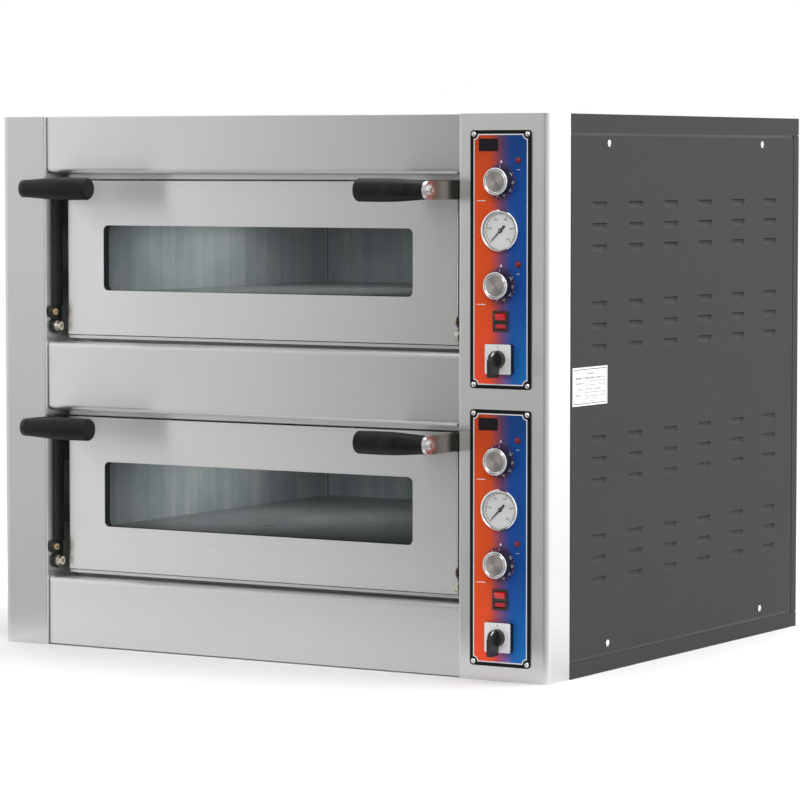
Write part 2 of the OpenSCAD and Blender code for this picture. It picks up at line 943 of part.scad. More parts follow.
// Rocker with two shallow facets, turning on stub pins
module rocker(top) {
    w = rocker_cut_w - 4 - 0.6;
    lip = 4.4;
    translate([control_x, -plate_t + rocker_pivot_y, top - rocker_drop]) rotate([rocker_lean, 0, 0]) {
        intersection() {
            translate([-w / 2, 0, 0]) rod_x(rocker_r, w);
            rotate([90, 0, 90]) linear_extrude(height = w, center = true) {
                polygon([[-rocker_pivot_y - lip, 12], [-rocker_pivot_y - 1.6, 1.2],
                    [-rocker_pivot_y - 1.6, -1.2], [-rocker_pivot_y - lip, -12], [4, -12], [4, 12]]);
            }
        }
        translate([-w / 2 - 1.3, 0, 0]) rod_x(1.5, w + 2.6);
    }
}

module upper_rocker() {
    color("red") place() rocker(plate_tops[0]);
}

module lower_rocker() {
    color("red") place() rocker(plate_tops[1]);
}

module cam_switch_body() {
    translate([0, -plate_t, 0]) difference() {
        union() {
            translate([-cam_w / 2, -cam_t, -cam_w / 2]) rounded_plate(cam_w, cam_t, cam_w, 2.5);
            rod_y(cam_hub_r - 2, sheet + plate_t + over);
            translate([-19, sheet + plate_t + fit, -19]) cube([38, 40, 38]);
        }
        translate([0, -cam_t - over, 0]) rod_y(spindle_r + play, cam_t + 16 + over);
    }
}

module cam_switch_bodies() {
    color("whitesmoke") place() {
        for (top = plate_tops) {
            translate([control_x, 0, top - cam_drop]) cam_switch_body();
        }
    }
}

// Handle of a cam switch: a hub and one flat wing that points down at rest
module cam_handle(top) {
    gap = 0.4;
    hub_h = 8;
    wing_h = 24;
    wing_w = 7;
    reach = 25;
    translate([control_x, -plate_t - cam_t - gap, top - cam_drop]) {
        rotate([90, 0, 0]) cylinder(r1 = cam_hub_r, r2 = cam_hub_r - 1, h = hub_h);
        translate([-wing_w / 2, 0, 0]) rotate([90, 0, 90]) linear_extrude(height = wing_w) {
            polygon([[-hub_h + 3, cam_hub_r - 1], [-hub_h - 1, cam_hub_r - 1],
                [-wing_h + 3, 2], [-wing_h, -1], [-wing_h, 1 - reach], [1 - wing_h, -reach],
                [-4, -reach], [-3, 1 - reach], [-2, 1 - cam_hub_r]]);
        }
        translate([0, -over, 0]) rod_y(spindle_r, 15 + over);
    }
}

module upper_cam_handle() {
    color("#222222") place() cam_handle(plate_tops[0]);
}

module lower_cam_handle() {
    color("#222222") place() cam_handle(plate_tops[1]);
}

// ---------- Supply ----------

module terminal_block() {
    poles = 5;
    pole_w = 12;
    x = 838;
    z = lower_z + wool_up + 0.2;
    color("ivory") place() difference() {
        translate([x, shelf_y[1], z]) cube([poles * pole_w, 24, 16]);
        for (k = [0:poles - 1]) {
            translate([x + (k + 0.5) * pole_w, shelf_y[1] + 6, z + 6]) cylinder(r = 2.6, h = 12);
            translate([x + (k + 0.5) * pole_w, shelf_y[1] + 18, z + 6]) cylinder(r = 2.6, h = 12);
        }
    }
}

module cable_gland() {
    color("#222222") place() translate([gland_x, body_d, gland_z]) difference() {
        union() {
            translate([0, fit, 0]) rotate([-90, 0, 0]) cylinder(r = 16, h = 7, $fn = 6);
            translate([0, 7, 0]) rotate([-90, 0, 0]) cylinder(r1 = 13, r2 = 10.5, h = 13);
            translate([0, -12, 0]) rod_y(gland_thread_r, 13);
            translate([0, -skin - fit - 5, 0]) rotate([-90, 0, 0]) cylinder(r = 16, h = 5, $fn = 6);
        }
        translate([0, -12 - over, 0]) rod_y(gland_bore_r, 32 + 2 * over);
    }
}

// ---------- Doors ----------

module window_block(z0, grow, y, length, r) {
    translate([window_x - grow, y, z0 + window_up - grow]) {
        rounded_plate(window_w + 2 * grow, length, window_h + 2 * grow, r);
    }
}

// Places children, heads up, at the five screws in each long edge of a door
module edge_screw_places(z0) {
    for (k = [-2:2]) {
        translate([door_cx + k * edge_screw_step, door_set + edge_screw_y, z0]) {
            translate([0, 0, door_h]) children();
            mirror([0, 0, 1]) children();
        }
    }
}

// Outer door skin: folded sides with a small bend, flat top and bottom flanges
module door_panel(z0) {
    r = 3;
    depth = 20;
    difference() {
        translate([door_x0, door_set, z0]) union() {
            linear_extrude(height = door_h) {
                translate([r, 0]) square([door_w - 2 * r, sheet]);
                translate([r, r]) quarter_ring(r, sheet);
                translate([door_w - r, r]) mirror([1, 0]) quarter_ring(r, sheet);
                for (x = [0, door_w - sheet]) {
                    translate([x, r]) square([sheet, depth - r]);
                }
            }
            for (z = [0, door_h - sheet]) {
                translate([r, 0, z]) cube([door_w - 2 * r, depth, sheet]);
                translate([sheet / 2, r, z]) cube([door_w - sheet, depth - r, sheet]);
            }
        }
        window_block(z0, 0, door_set - over, sheet + 2 * over, window_r);
        edge_screw_places(z0) cylinder(r = edge_screw_r + fit, h = 2 * over + sheet, center = true);
    }
}

module door_liner(z0) {
    inset = 8;
    y0 = door_set + 20 - sheet - fit;
    lip = sheet + fit;
    pan_y = door_set + 20;
    pan_d = door_t - 20;
    difference() {
        union() {
            translate([door_x0 + lip, y0, z0 + lip]) cube([door_w - 2 * lip, sheet, door_h - 2 * lip]);
            translate([door_x0 + inset, y0, z0 + inset]) {
                cube([door_w - 2 * inset, pan_d + sheet + fit, door_h - 2 * inset]);
            }
        }
        translate([door_x0 + inset + sheet, y0 - over, z0 + inset + sheet]) {
            cube([door_w - 2 * (inset + sheet), pan_d + over + fit, door_h - 2 * (inset + sheet)]);
        }
        window_block(z0, sight_grow, pan_y, pan_d + over, window_r);
    }
}

module door_wool(z0) {
    inset = 10;
    y0 = door_set + sheet + 0.2;
    depth = door_t - 2 * sheet - 0.6;
    difference() {
        translate([door_x0 + inset, y0, z0 + inset]) cube([door_w - 2 * inset, depth, door_h - 2 * inset]);
        window_block(z0, sight_grow + pane_lap + 2, y0 - over, depth + 2 * over, window_r);
    }
}

// Black seal that lines the window and carries the outer pane
module window_seal(z0) {
    y0 = door_set + sheet + 0.05;
    depth = window_deep - sheet - 0.05;
    difference() {
        window_block(z0, seal_t, y0, depth, window_r + seal_t);
        window_block(z0, 0, y0 - over, depth + 2 * over, window_r);
    }
    difference() {
        window_block(z0, 11, y0 + depth - 3, 3, window_r + seal_t);
        window_block(z0, seal_t - 1, y0 + depth - 3 - over, 3 + 2 * over, window_r);
    }
}

module door_glass(z0) {
    inner_y = door_set + door_t - sheet - 0.2 - glass_t;
    window_block(z0, 10, door_set + window_deep + fit, glass_t, window_r);
    window_block(z0, sight_grow + pane_lap, inner_y, glass_t, window_r);
}

// Lever: flat bar with a pivot eye and foot below, a lug above and two door tabs
module lever(z0) {
    top = grip_up + bar_r;
    tab_x = door_x0 - lever_x - fit;
    lug_w = bar_x - lever_x + lever_t;
    translate([lever_x, 0, z0]) difference() {
        union() {
            translate([0, lever_y, pivot_up]) cube([lever_t, lever_d, top - pivot_up]);
            translate([0, pivot_y, pivot_up]) rod_x(11, lever_t - 2);
            translate([0, foot_y, foot_up - 9]) cube([lever_t - 2, lever_y + lever_d - foot_y, 18]);
            translate([0, foot_y, foot_up]) rod_x(9, lever_t - 2);
            translate([0, bar_y1, top - 2 * bar_r]) {
                cube([lug_w, lever_y + lever_d - bar_y1, 2 * bar_r]);
            }
            for (up = [70, 165]) {
                translate([0, lever_y + lever_d - 4, up]) cube([tab_x, 14, 26]);
            }
        }
        translate([lever_t - 2, -over, -over]) cube([lever_t, 60, foot_up + 9 + over]);
        translate([-over, pivot_y, pivot_up]) rod_x(pivot_d / 2 + play, lever_t + 2 * over);
        translate([-over, foot_y, foot_up]) rod_x(2.6, lever_t + 2 * over);
    }
}

module handle_bar(z0) {
    translate([bar_x, 0, z0 + grip_up]) difference() {
        union() {
            translate([0, -grip_reach, -bar_r]) cube([lever_t, grip_reach + bar_y1 - 0.02, 2 * bar_r]);
            translate([0, -grip_reach, 0]) rod_x(bar_r, lever_t);
        }
        translate([-over, -grip_reach, 0]) rod_x(4.3, lever_t + 2 * over);
    }
}

// Grip profile: radius against distance from the handle bar
module grip_profile() {
    nose = 3;
    polygon([[0, 0], [bar_r - 0.2, 0], [bar_r + 0.3, 8], [bar_r + 1.2, 20], [bar_r + 2.2, 34],
        [grip_r, 52], [grip_r + 0.3, 75], [grip_r, grip_len - nose],
        [grip_r - 1, grip_len - 1], [grip_r - nose, grip_len], [0, grip_len]]);
}

module grip(z0) {
    translate([bar_x + lever_t + 0.02, -grip_reach, z0 + grip_up]) difference() {
        rotate([0, 90, 0]) rotate_extrude($fn = 64) grip_profile();
        translate([-over, 0, 0]) rod_x(4.05, 60 + over);
    }
}

module edge_screws(z0) {
    edge_screw_places(z0) rotate([0, 90, 0]) pan_screw(3.2, 1.6, edge_screw_r, 7);
}

// Grip screw and foot screw of one lever
module lever_screws(z0) {
    shank = 50;
    translate([bar_x, -grip_reach, z0 + grip_up]) {
        translate([-1.2, 0, 0]) rod_x(8.5, 1.18);
        translate([-1.2, 0, 0]) mirror([1, 0, 0]) socket_head(6.5, 3.3, 2.8);
        translate([-1.2, 0, 0]) rod_x(4, shank);
    }
    translate([lever_x + lever_t - 2 + 0.02, foot_y, z0 + foot_up]) {
        socket_head(5, 5, 2.3);
        translate([-5.6, 0, 0]) rod_x(2.5, 6);
    }
}

// Shoulder screw that carries a lever, with its collar and nut
module hinge_screw(z0) {
    x0 = pillar_w - sheet;
    seat = lever_x + lever_t - 2 + 0.3;
    thread_r = pivot_d / 2 - 1;
    translate([0, pivot_y, z0 + pivot_up]) {
        translate([pillar_w + 0.05, 0, 0]) rod_x(pivot_d / 2, seat - pillar_w);
        translate([seat, 0, 0]) rod_x(8.5, 2.5);
        translate([seat + 2.5, 0, 0]) socket_head(6.5, 6.5, 3);
        translate([x0 - 7, 0, 0]) rod_x(thread_r, 9);
        translate([x0 - 6, 0, 0]) rotate([0, 90, 0]) cylinder(r = 6.5, h = 5.9, $fn = 6);
    }
}

module hinge_screws() {
    color("darkkhaki") place() both_sides() {
        for (z0 = decks) hinge_screw(z0);
    }
}

module upper_door_panel() {
    color("silver") place() door_panel(upper_z);
}

module upper_door_liner() {
    color("gainsboro") place() door_liner(upper_z);
}

module upper_door_wool() {
    color("khaki") place() door_wool(upper_z);
}

module upper_door_glass() {
    color("slategray", 0.5) place() door_glass(upper_z);
}

module upper_window_seal() {
    color("black") place() window_seal(upper_z);
}

module upper_levers() {
    color("#222222") place() both_sides() lever(upper_z);
}

module upper_handle_bars() {
    color("silver") place() both_sides() handle_bar(upper_z);
}

module upper_grips() {
    color("#222222") place() both_sides() grip(upper_z);
}

module upper_door_screws() {
    color("silver") place() {
        both_sides() lever_screws(upper_z);
        edge_screws(upper_z);
    }
}

module lower_door_panel() {
    color("silver") place() door_panel(lower_z);
}

module lower_door_liner() {
    color("gainsboro") place() door_liner(lower_z);
}

module lower_door_wool() {
    color("khaki") place() door_wool(lower_z);
}

module lower_door_glass() {
    color("slategray", 0.5) place() door_glass(lower_z);
}

module lower_window_seal() {
    color("black") place() window_seal(lower_z);
}

module lower_levers() {
    color("#222222") place() both_sides() lever(lower_z);
}

module lower_handle_bars() {
    color("silver") place() both_sides() handle_bar(lower_z);
}

module lower_grips() {
    color("#222222") place() both_sides() grip(lower_z);
}

module lower_door_screws() {
    color("silver") place() {
        both_sides() lever_screws(lower_z);
        edge_screws(lower_z);
    }
}

base_tray();
top_cover();
back_panel();
left_side_panel();
right_side_panel();
casing_screws();
left_pillar();
control_pillar();
top_fascia();
middle_fascia();
bottom_fascia();
rating_plate();
chassis_frame();
front_frame();
upper_chamber();
lower_chamber();
chamber_insulation();
floor_stones();
heating_elements();
oven_lamps();
hinge_screws();
upper_control_plate();
lower_control_plate();
plate_screws();
thermostats();
gauge_cases();
gauge_glasses();
indicator_lamps();
rocker_housings();
cam_switch_bodies();
terminal_block();
cable_gland();
upper_door_panel();
upper_door_liner();
upper_door_wool();
upper_door_glass();
upper_window_seal();
upper_levers();
upper_handle_bars();
upper_grips();
upper_door_screws();
lower_door_panel();
lower_door_liner();
lower_door_wool();
lower_door_glass();
lower_window_seal();
lower_levers();
lower_handle_bars();
lower_grips();
lower_door_screws();
upper_roof_knob();
upper_floor_knob();
lower_roof_knob();
lower_floor_knob();
upper_gauge_needle();
lower_gauge_needle();
upper_rocker();
lower_rocker();
upper_cam_handle();
lower_cam_handle();
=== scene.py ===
"""Looks for the two-deck pizza oven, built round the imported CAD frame.

Lengths are in metres, and MM turns millimetres into metres. Outlines and printed marks are in
millimetres where a comment says so.
"""

import json
import math

import bmesh
import bpy
from mathutils import Matrix, Vector

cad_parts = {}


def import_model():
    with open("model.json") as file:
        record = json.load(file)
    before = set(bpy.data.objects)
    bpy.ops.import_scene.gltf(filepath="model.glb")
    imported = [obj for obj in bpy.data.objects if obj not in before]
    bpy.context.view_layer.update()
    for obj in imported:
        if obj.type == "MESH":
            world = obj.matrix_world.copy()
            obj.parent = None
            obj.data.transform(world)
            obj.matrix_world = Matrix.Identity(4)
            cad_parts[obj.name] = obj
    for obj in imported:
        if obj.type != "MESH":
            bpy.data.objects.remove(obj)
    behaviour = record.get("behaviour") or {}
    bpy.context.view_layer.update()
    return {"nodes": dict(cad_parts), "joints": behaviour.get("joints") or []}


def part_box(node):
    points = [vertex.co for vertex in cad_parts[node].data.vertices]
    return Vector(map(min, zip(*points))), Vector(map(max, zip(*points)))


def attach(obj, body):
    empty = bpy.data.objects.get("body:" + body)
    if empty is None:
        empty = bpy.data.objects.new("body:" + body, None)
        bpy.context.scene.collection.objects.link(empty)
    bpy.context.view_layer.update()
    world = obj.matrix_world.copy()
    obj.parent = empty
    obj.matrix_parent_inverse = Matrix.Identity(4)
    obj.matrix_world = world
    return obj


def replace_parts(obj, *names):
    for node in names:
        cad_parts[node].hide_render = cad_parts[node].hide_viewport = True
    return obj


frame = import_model()
nodes = frame["nodes"]
joints = {j["name"]: j for j in frame["joints"]}
MM = 0.001
DECKS = ("upper", "lower")
ORIGIN = (0, 0, 0)


# ---------- Node graphs ----------

class Nodes:
    """A node tree with short calls for the nodes used here."""

    def __init__(self, tree):
        self.tree = tree
        self.tree.nodes.clear()

    def node(self, kind, **props):
        n = self.tree.nodes.new(kind)
        for key, value in props.items():
            setattr(n, key, value)
        return n

    def put(self, value, socket):
        """Links a socket to another, or sets its value."""
        if hasattr(value, "is_linked"):
            self.tree.links.new(value, socket)
        elif isinstance(value, (tuple, list)) and len(value) == 3 and socket.type == "RGBA":
            socket.default_value = (*value, 1)
        else:
            socket.default_value = value

    def math(self, op, a, b=0.0, clamp=False):
        n = self.node("ShaderNodeMath", operation=op, use_clamp=clamp)
        self.put(a, n.inputs[0])
        self.put(b, n.inputs[1])
        return n.outputs[0]

    def add(self, a, b, clamp=False):
        return self.math("ADD", a, b, clamp)

    def less(self, a, b, clamp=False):
        return self.math("SUBTRACT", a, b, clamp)

    def times(self, a, b, clamp=False):
        return self.math("MULTIPLY", a, b, clamp)

    def most(self, first, *others):
        """The largest of some values."""
        for other in others:
            first = self.math("MAXIMUM", first, other)
        return first

    def size(self, value):
        return self.math("ABSOLUTE", value)

    def hypot(self, a, b):
        return self.math("SQRT", self.add(self.times(a, a), self.times(b, b)))

    def xyz(self, source):
        n = self.node("ShaderNodeSeparateXYZ")
        self.put(source, n.inputs[0])
        return n.outputs

    def remap(self, value, lo, hi, to_lo=0.0, to_hi=1.0, smooth=False):
        n = self.node("ShaderNodeMapRange", interpolation_type="SMOOTHSTEP" if smooth else "LINEAR")
        keys = ("Value", "From Min", "From Max", "To Min", "To Max")
        for key, v in zip(keys, (value, lo, hi, to_lo, to_hi)):
            self.put(v, n.inputs[key])
        return n.outputs[0]

    def band(self, value, lo, hi, soft):
        """1 between lo and hi, 0 outside, with soft edges."""
        up = self.remap(value, lo - soft, lo + soft)
        down = self.remap(value, hi - soft, hi + soft, 1.0, 0.0)
        return self.times(up, down)

    def mix(self, fac, a, b):
        """Between two colours."""
        n = self.node("ShaderNodeMix", data_type="RGBA")
        self.put(fac, n.inputs[0])
        self.put(a, n.inputs[6])
        self.put(b, n.inputs[7])
        return n.outputs[2]

    def lerp(self, fac, a, b):
        """Between two numbers."""
        n = self.node("ShaderNodeMix")
        self.put(fac, n.inputs["Factor"])
        self.put(a, n.inputs["A"])
        self.put(b, n.inputs["B"])
        return n.outputs["Result"]

    def mix_shader(self, fac, a, b):
        n = self.node("ShaderNodeMixShader")
        for value, socket in zip((fac, a, b), n.inputs):
            self.put(value, socket)
        return n.outputs[0]

    def ramp(self, fac, stops):
        """stops holds (position, colour) pairs."""
        n = self.node("ShaderNodeValToRGB")
        self.put(fac, n.inputs[0])
        ramp = n.color_ramp
        while len(ramp.elements) < len(stops):
            ramp.elements.new(0.5)
        for element, (pos, colour) in zip(ramp.elements, stops):
            element.position = pos
            element.color = (*colour, 1)
        return n.outputs[0]


class Graph(Nodes):
    """A material whose patterns are placed by the row frame's coordinates."""

    def __init__(self, name):
        self.mat = bpy.data.materials.new(name)
        self.mat.use_nodes = True
        super().__init__(self.mat.node_tree)
        self.out = self.node("ShaderNodeOutputMaterial")
        self.coord = self.node("ShaderNodeTexCoord").outputs["Object"]
        self.pos = self.xyz(self.coord)

    def scaled(self, scale, offset=ORIGIN):
        n = self.node("ShaderNodeMapping")
        self.put(self.coord, n.inputs["Vector"])
        n.inputs["Scale"].default_value = scale
        n.inputs["Location"].default_value = offset
        return n.outputs[0]

    def noise(self, scale, detail=4.0, rough=0.5, offset=ORIGIN):
        """Noise from 0 to 1. scale is in cells per metre, one number or one for each axis."""
        if isinstance(scale, (int, float)):
            scale = (scale,) * 3
        n = self.node("ShaderNodeTexNoise")
        self.put(self.scaled(scale, offset), n.inputs["Vector"])
        n.inputs["Scale"].default_value = 1.0
        n.inputs["Detail"].default_value = detail
        n.inputs["Roughness"].default_value = rough
        return n.outputs["Fac"]

    def cells(self, scale):
        """Distance to the nearest of scattered points. scale is how many there are per metre."""
        n = self.node("ShaderNodeTexVoronoi")
        self.put(self.scaled((scale,) * 3), n.inputs["Vector"])
        n.inputs["Scale"].default_value = 1.0
        return n.outputs["Distance"]

    def blend(self, a, b, share):
        """Sum of two patterns, the first with this share and the second with the rest."""
        return self.add(self.times(a, share), self.times(b, 1.0 - share))

    def bump(self, height, strength, distance):
        n = self.node("ShaderNodeBump")
        self.put(height, n.inputs["Height"])
        n.inputs["Strength"].default_value = strength
        n.inputs["Distance"].default_value = distance
        return n.outputs[0]

    def principled(self, **inputs):
        n = self.node("ShaderNodeBsdfPrincipled")
        for key, value in inputs.items():
            self.put(value, n.inputs[key.replace("_", " ")])
        self.put(n.outputs[0], self.out.inputs[0])
        return n


def lighter(colour, factor, lift):
    """A colour times a factor, plus a lift."""
    return tuple(min(1.0, c * factor + lift) for c in colour)


def darker(colour, factor):
    return tuple(c * factor for c in colour)


# ---------- Materials ----------

def steel(name, along, tone=0.725, rough=0.29, streak=0.022, aniso=0.93):
    """Brushed stainless. along is the grain's axis, 0 for X and 2 for Z, and streak is how far
    the grain changes the shade."""
    g = Graph(name)

    def brushed(across_scale, along_scale, rough_noise, offset=ORIGIN):
        scale = [across_scale] * 3
        scale[along] = along_scale
        return g.noise(scale, 3.0, rough_noise, offset)

    grain = g.blend(brushed(2300.0, 7.0, 0.6), brushed(620.0, 2.4, 0.55, (3.1, 1.7, 0.4)), 0.6)
    cloud = g.noise(5.5, 3.0, 0.55, (0.3, 2.2, 1.1))
    smudge = g.noise(23.0, 4.0, 0.6, (1.3, 0.2, 2.1))
    shade = g.times(g.remap(grain, 0.3, 0.7, 1.0 - streak, 1.0 + streak),
                    g.remap(cloud, 0.3, 0.7, 0.985, 1.015))
    warm, cool = (tone, tone * 0.994, tone * 0.976), (tone * 0.99, tone * 0.994, tone * 0.99)
    shaded = g.node("ShaderNodeVectorMath", operation="SCALE")
    g.put(g.mix(g.remap(cloud, 0.35, 0.65), warm, cool), shaded.inputs[0])
    g.put(shade, shaded.inputs["Scale"])
    roughness = g.add(g.remap(grain, 0.3, 0.7, rough - 0.02, rough + 0.03),
                      g.remap(smudge, 0.3, 0.8, 0.0, 0.02))
    # Reflections spread across the grain
    across = g.node("ShaderNodeCombineXYZ")
    across.inputs[2 if along == 0 else 0].default_value = 1.0
    g.principled(Base_Color=shaded.outputs[0], Metallic=1.0, Roughness=roughness, Anisotropic=aniso,
                 Tangent=across.outputs[0], Normal=g.bump(grain, 0.05, 0.00004))
    return g.mat


def powder_coat(name, colour, rough=0.45, bump=0.25, gloss=0.45):
    """Satin stoved paint with fine orange peel and a little dust."""
    g = Graph(name)
    peel = g.noise(900.0, 3.0, 0.55)
    cloud = g.noise(7.0, 4.0, 0.6, (0.8, 0.1, 0.5))
    dust = g.noise(60.0, 5.0, 0.65, (0.2, 1.9, 0.7))
    base = g.mix(g.remap(cloud, 0.35, 0.65), darker(colour, 0.94), lighter(colour, 1.12, 0.002))
    base = g.mix(g.remap(dust, 0.58, 0.75, 0.0, 0.15), base, lighter(colour, 1.6, 0.03))
    g.principled(Base_Color=base, Roughness=g.remap(cloud, 0.3, 0.7, rough - 0.05, rough + 0.07),
                 Specular_IOR_Level=gloss, Normal=g.bump(peel, bump, 0.00012))
    return g.mat


def plastic(name, colour, rough=0.4, grain=1400.0, bump=0.15, gloss=0.5):
    """Moulded plastic with a fine spark-eroded grain and handling marks."""
    g = Graph(name)
    fine = g.noise(grain, 2.0, 0.5)
    marks = g.noise(45.0, 5.0, 0.65, (0.4, 0.9, 0.3))
    base = g.mix(g.remap(marks, 0.4, 0.7), colour, lighter(colour, 1.3, 0.008))
    g.principled(Base_Color=base, Roughness=g.remap(marks, 0.35, 0.7, rough - 0.06, rough + 0.1),
                 Specular_IOR_Level=gloss, Normal=g.bump(fine, bump, 0.0001))
    return g.mat


def bright_metal(name, colour, rough=0.16, scale=260.0, tinted=None):
    """Plated metal with faint turning marks and spots of wear. tinted is (colour, z0, z1): another
    plating between two heights."""
    g = Graph(name)
    marks = g.noise(scale, 4.0, 0.6)
    wear = g.noise(90.0, 4.0, 0.6, (2.0, 0.7, 0.1))
    base = colour
    if tinted:
        base = g.mix(g.band(g.pos[2], tinted[1], tinted[2], 0.5 * MM), colour, tinted[0])
    base = g.mix(g.remap(wear, 0.5, 0.75, 0.0, 0.6), base, darker(colour, 0.55))
    g.principled(Base_Color=base, Metallic=1.0, Roughness=g.remap(wear, 0.35, 0.7, rough, rough + 0.16),
                 Normal=g.bump(marks, 0.12, 0.00005))
    return g.mat


def screw_metal(deck):
    """Screws of a door: zinc plated, the lever's foot screws in yellow zinc."""
    pivot = joints[deck + "_door_hinge"]["pos_m"][2]
    yellow_zinc = (0.66, 0.50, 0.28)
    foot = (yellow_zinc, pivot + 12 * MM, pivot + 32 * MM)
    return bright_metal(deck + "_screw_metal", (0.74, 0.74, 0.72), 0.26, tinted=foot)


def chamber_steel():
    """Aluminised sheet: blue-grey, faint vertical drawing lines, and a painted highlight and a painted shade
    line at the back-left corner.
    """
    g = Graph("chamber_steel")
    drawn = g.noise((46.0, 46.0, 1.6), 5.0, 0.65)
    cloud = g.noise(13.0, 4.0, 0.6, (0.2, 0.4, 0.8))
    base = g.ramp(g.blend(drawn, cloud, 0.6),
                  ((0.36, (0.27, 0.33, 0.36)), (0.5, (0.37, 0.42, 0.44)), (0.64, (0.47, 0.51, 0.51))))
    base = g.mix(g.remap(g.cells(900.0), 0.0, 0.5, 0.12, 0.0), base, (0.2, 0.22, 0.23))
    # Both chambers have the same X and Y, so one box places the painted corner highlight and shade of both
    lo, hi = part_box("upper_chamber")
    wall = 1.5 * MM
    painted_corner_highlight, painted_corner_shade = (0.78, 0.79, 0.78), (0.035, 0.045, 0.05)
    x, y = g.pos[0], g.pos[1]
    side_edge = g.band(y, hi.y - wall - 5 * MM, hi.y - wall - 0.4 * MM, 0.3 * MM)
    at_left = g.remap(x, lo.x + 2 * wall, lo.x + wall)
    back_edge = g.band(x, lo.x + wall + 0.2 * MM, lo.x + wall + 3 * MM, 0.3 * MM)
    at_back = g.remap(y, hi.y - 2.4 * wall, hi.y - 1.4 * wall)
    # Painted highlight: a pale strip on the left wall next to the back corner
    base = g.mix(g.times(side_edge, at_left, clamp=True), base, painted_corner_highlight)
    # Painted shade: a dark line on the back wall in that corner
    base = g.mix(g.times(back_edge, at_back, clamp=True), base, painted_corner_shade)
    g.principled(Base_Color=base, Metallic=0.35, Roughness=g.remap(cloud, 0.3, 0.7, 0.42, 0.6),
                 Normal=g.bump(drawn, 0.15, 0.0003))
    return g.mat


def stone():
    """Smooth grey refractory tile: fine grit, small pores and faint baking marks."""
    g = Graph("stone")
    grit = g.noise(700.0, 5.0, 0.7)
    cloud = g.noise(14.0, 4.0, 0.6)
    pores = g.cells(420.0)
    base = g.ramp(g.blend(grit, cloud, 0.4),
                  ((0.34, (0.070, 0.078, 0.082)), (0.5, (0.10, 0.108, 0.112)), (0.66, (0.135, 0.14, 0.14))))
    base = g.mix(g.remap(pores, 0.0, 0.22, 0.4, 0.0), base, (0.05, 0.05, 0.05))
    height = g.less(grit, g.remap(pores, 0.0, 0.25, 0.8, 0.0))
    g.principled(Base_Color=base, Roughness=g.remap(cloud, 0.3, 0.7, 0.26, 0.4), Specular_IOR_Level=0.8,
                 Normal=g.bump(height, 0.08, 0.0002))
    return g.mat


def wool(name, deck=None):
    """Mineral wool slab with fibres. In a door, the faces round the window wear foil."""
    g = Graph(name)
    fibre = g.noise((900.0, 140.0, 900.0), 6.0, 0.75)
    cloud = g.noise(25.0, 4.0, 0.6)
    base = g.ramp(g.blend(fibre, cloud, 0.5),
                  ((0.3, (0.38, 0.32, 0.17)), (0.6, (0.62, 0.56, 0.36)), (0.8, (0.75, 0.70, 0.50))))
    metallic, roughness = 0.0, 0.95
    if deck:
        lo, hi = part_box(deck + "_window_seal")
        centre, reach = (lo + hi) / 2, (hi - lo) / 2
        foil_border = 20 * MM
        away_x = g.less(g.size(g.less(g.pos[0], centre.x)), reach.x + foil_border)
        away_z = g.less(g.size(g.less(g.pos[2], centre.z)), reach.z + foil_border)
        foil = g.remap(g.most(away_x, away_z), 0.2 * MM, 0.4 * MM, 1.0, 0.0)
        base = g.mix(foil, base, g.mix(cloud, (0.34, 0.35, 0.35), (0.52, 0.53, 0.53)))
        metallic = g.times(foil, 0.8)
        roughness = g.remap(foil, 0.0, 1.0, 0.95, 0.42)
    g.principled(Base_Color=base, Metallic=metallic, Roughness=roughness, Specular_IOR_Level=0.1,
                 Normal=g.bump(fibre, 0.8, 0.002))
    return g.mat


def element_metal():
    """Oxidised heater tube with heat-tinted patches."""
    g = Graph("element_metal")
    cloud = g.noise(30.0, 4.0, 0.6)
    base = g.ramp(cloud, ((0.3, (0.05, 0.055, 0.06)), (0.5, (0.11, 0.10, 0.09)), (0.7, (0.17, 0.13, 0.10))))
    g.principled(Base_Color=base, Metallic=0.7, Roughness=g.remap(cloud, 0.3, 0.7, 0.42, 0.62),
                 Normal=g.bump(g.noise(800.0), 0.2, 0.0001))
    return g.mat


def pane(name, tint, gloss, smear):
    """See-through pane: tinted transparency under a surface that reflects more at a grazing
    angle and has faint smears. gloss is its reflection seen straight on."""
    g = Graph(name)
    cloud = g.noise(9.0, 4.0, 0.6)
    through = g.node("ShaderNodeBsdfTransparent")
    g.put(g.mix(g.remap(cloud, 0.3, 0.7), tint, darker(tint, 0.96)), through.inputs[0])
    shine = g.node("ShaderNodeBsdfGlossy")
    g.put((0.93, 0.96, 1.0), shine.inputs["Color"])
    g.put(g.remap(cloud, 0.35, 0.7, 0.02, 0.02 + smear), shine.inputs["Roughness"])
    geometry = g.node("ShaderNodeNewGeometry").outputs
    facing = g.node("ShaderNodeVectorMath", operation="DOT_PRODUCT")
    g.put(geometry["Incoming"], facing.inputs[0])
    g.put(geometry["Normal"], facing.inputs[1])
    grazing = g.less(1.0, g.size(facing.outputs["Value"]), clamp=True)
    reflected = g.add(gloss, g.times(g.math("POWER", grazing, 5.0), 0.5), clamp=True)
    g.put(g.mix_shader(reflected, through.outputs[0], shine.outputs[0]), g.out.inputs[0])
    return g.mat


# The overlay's print from its left to its right edge, as (place, colour): above and low down
PRINT_TOP = ((0.10, (0.80, 0.085, 0.012)), (0.34, (0.75, 0.085, 0.016)), (0.52, (0.16, 0.065, 0.16)),
             (0.66, (0.010, 0.072, 0.33)), (0.95, (0.0, 0.076, 0.33)))
PRINT_LOW = ((0.08, (1.0, 0.088, 0.030)), (0.36, (0.98, 0.095, 0.032)), (0.56, (0.24, 0.11, 0.30)),
             (0.70, (0.014, 0.14, 0.46)), (0.95, (0.006, 0.165, 0.52)))


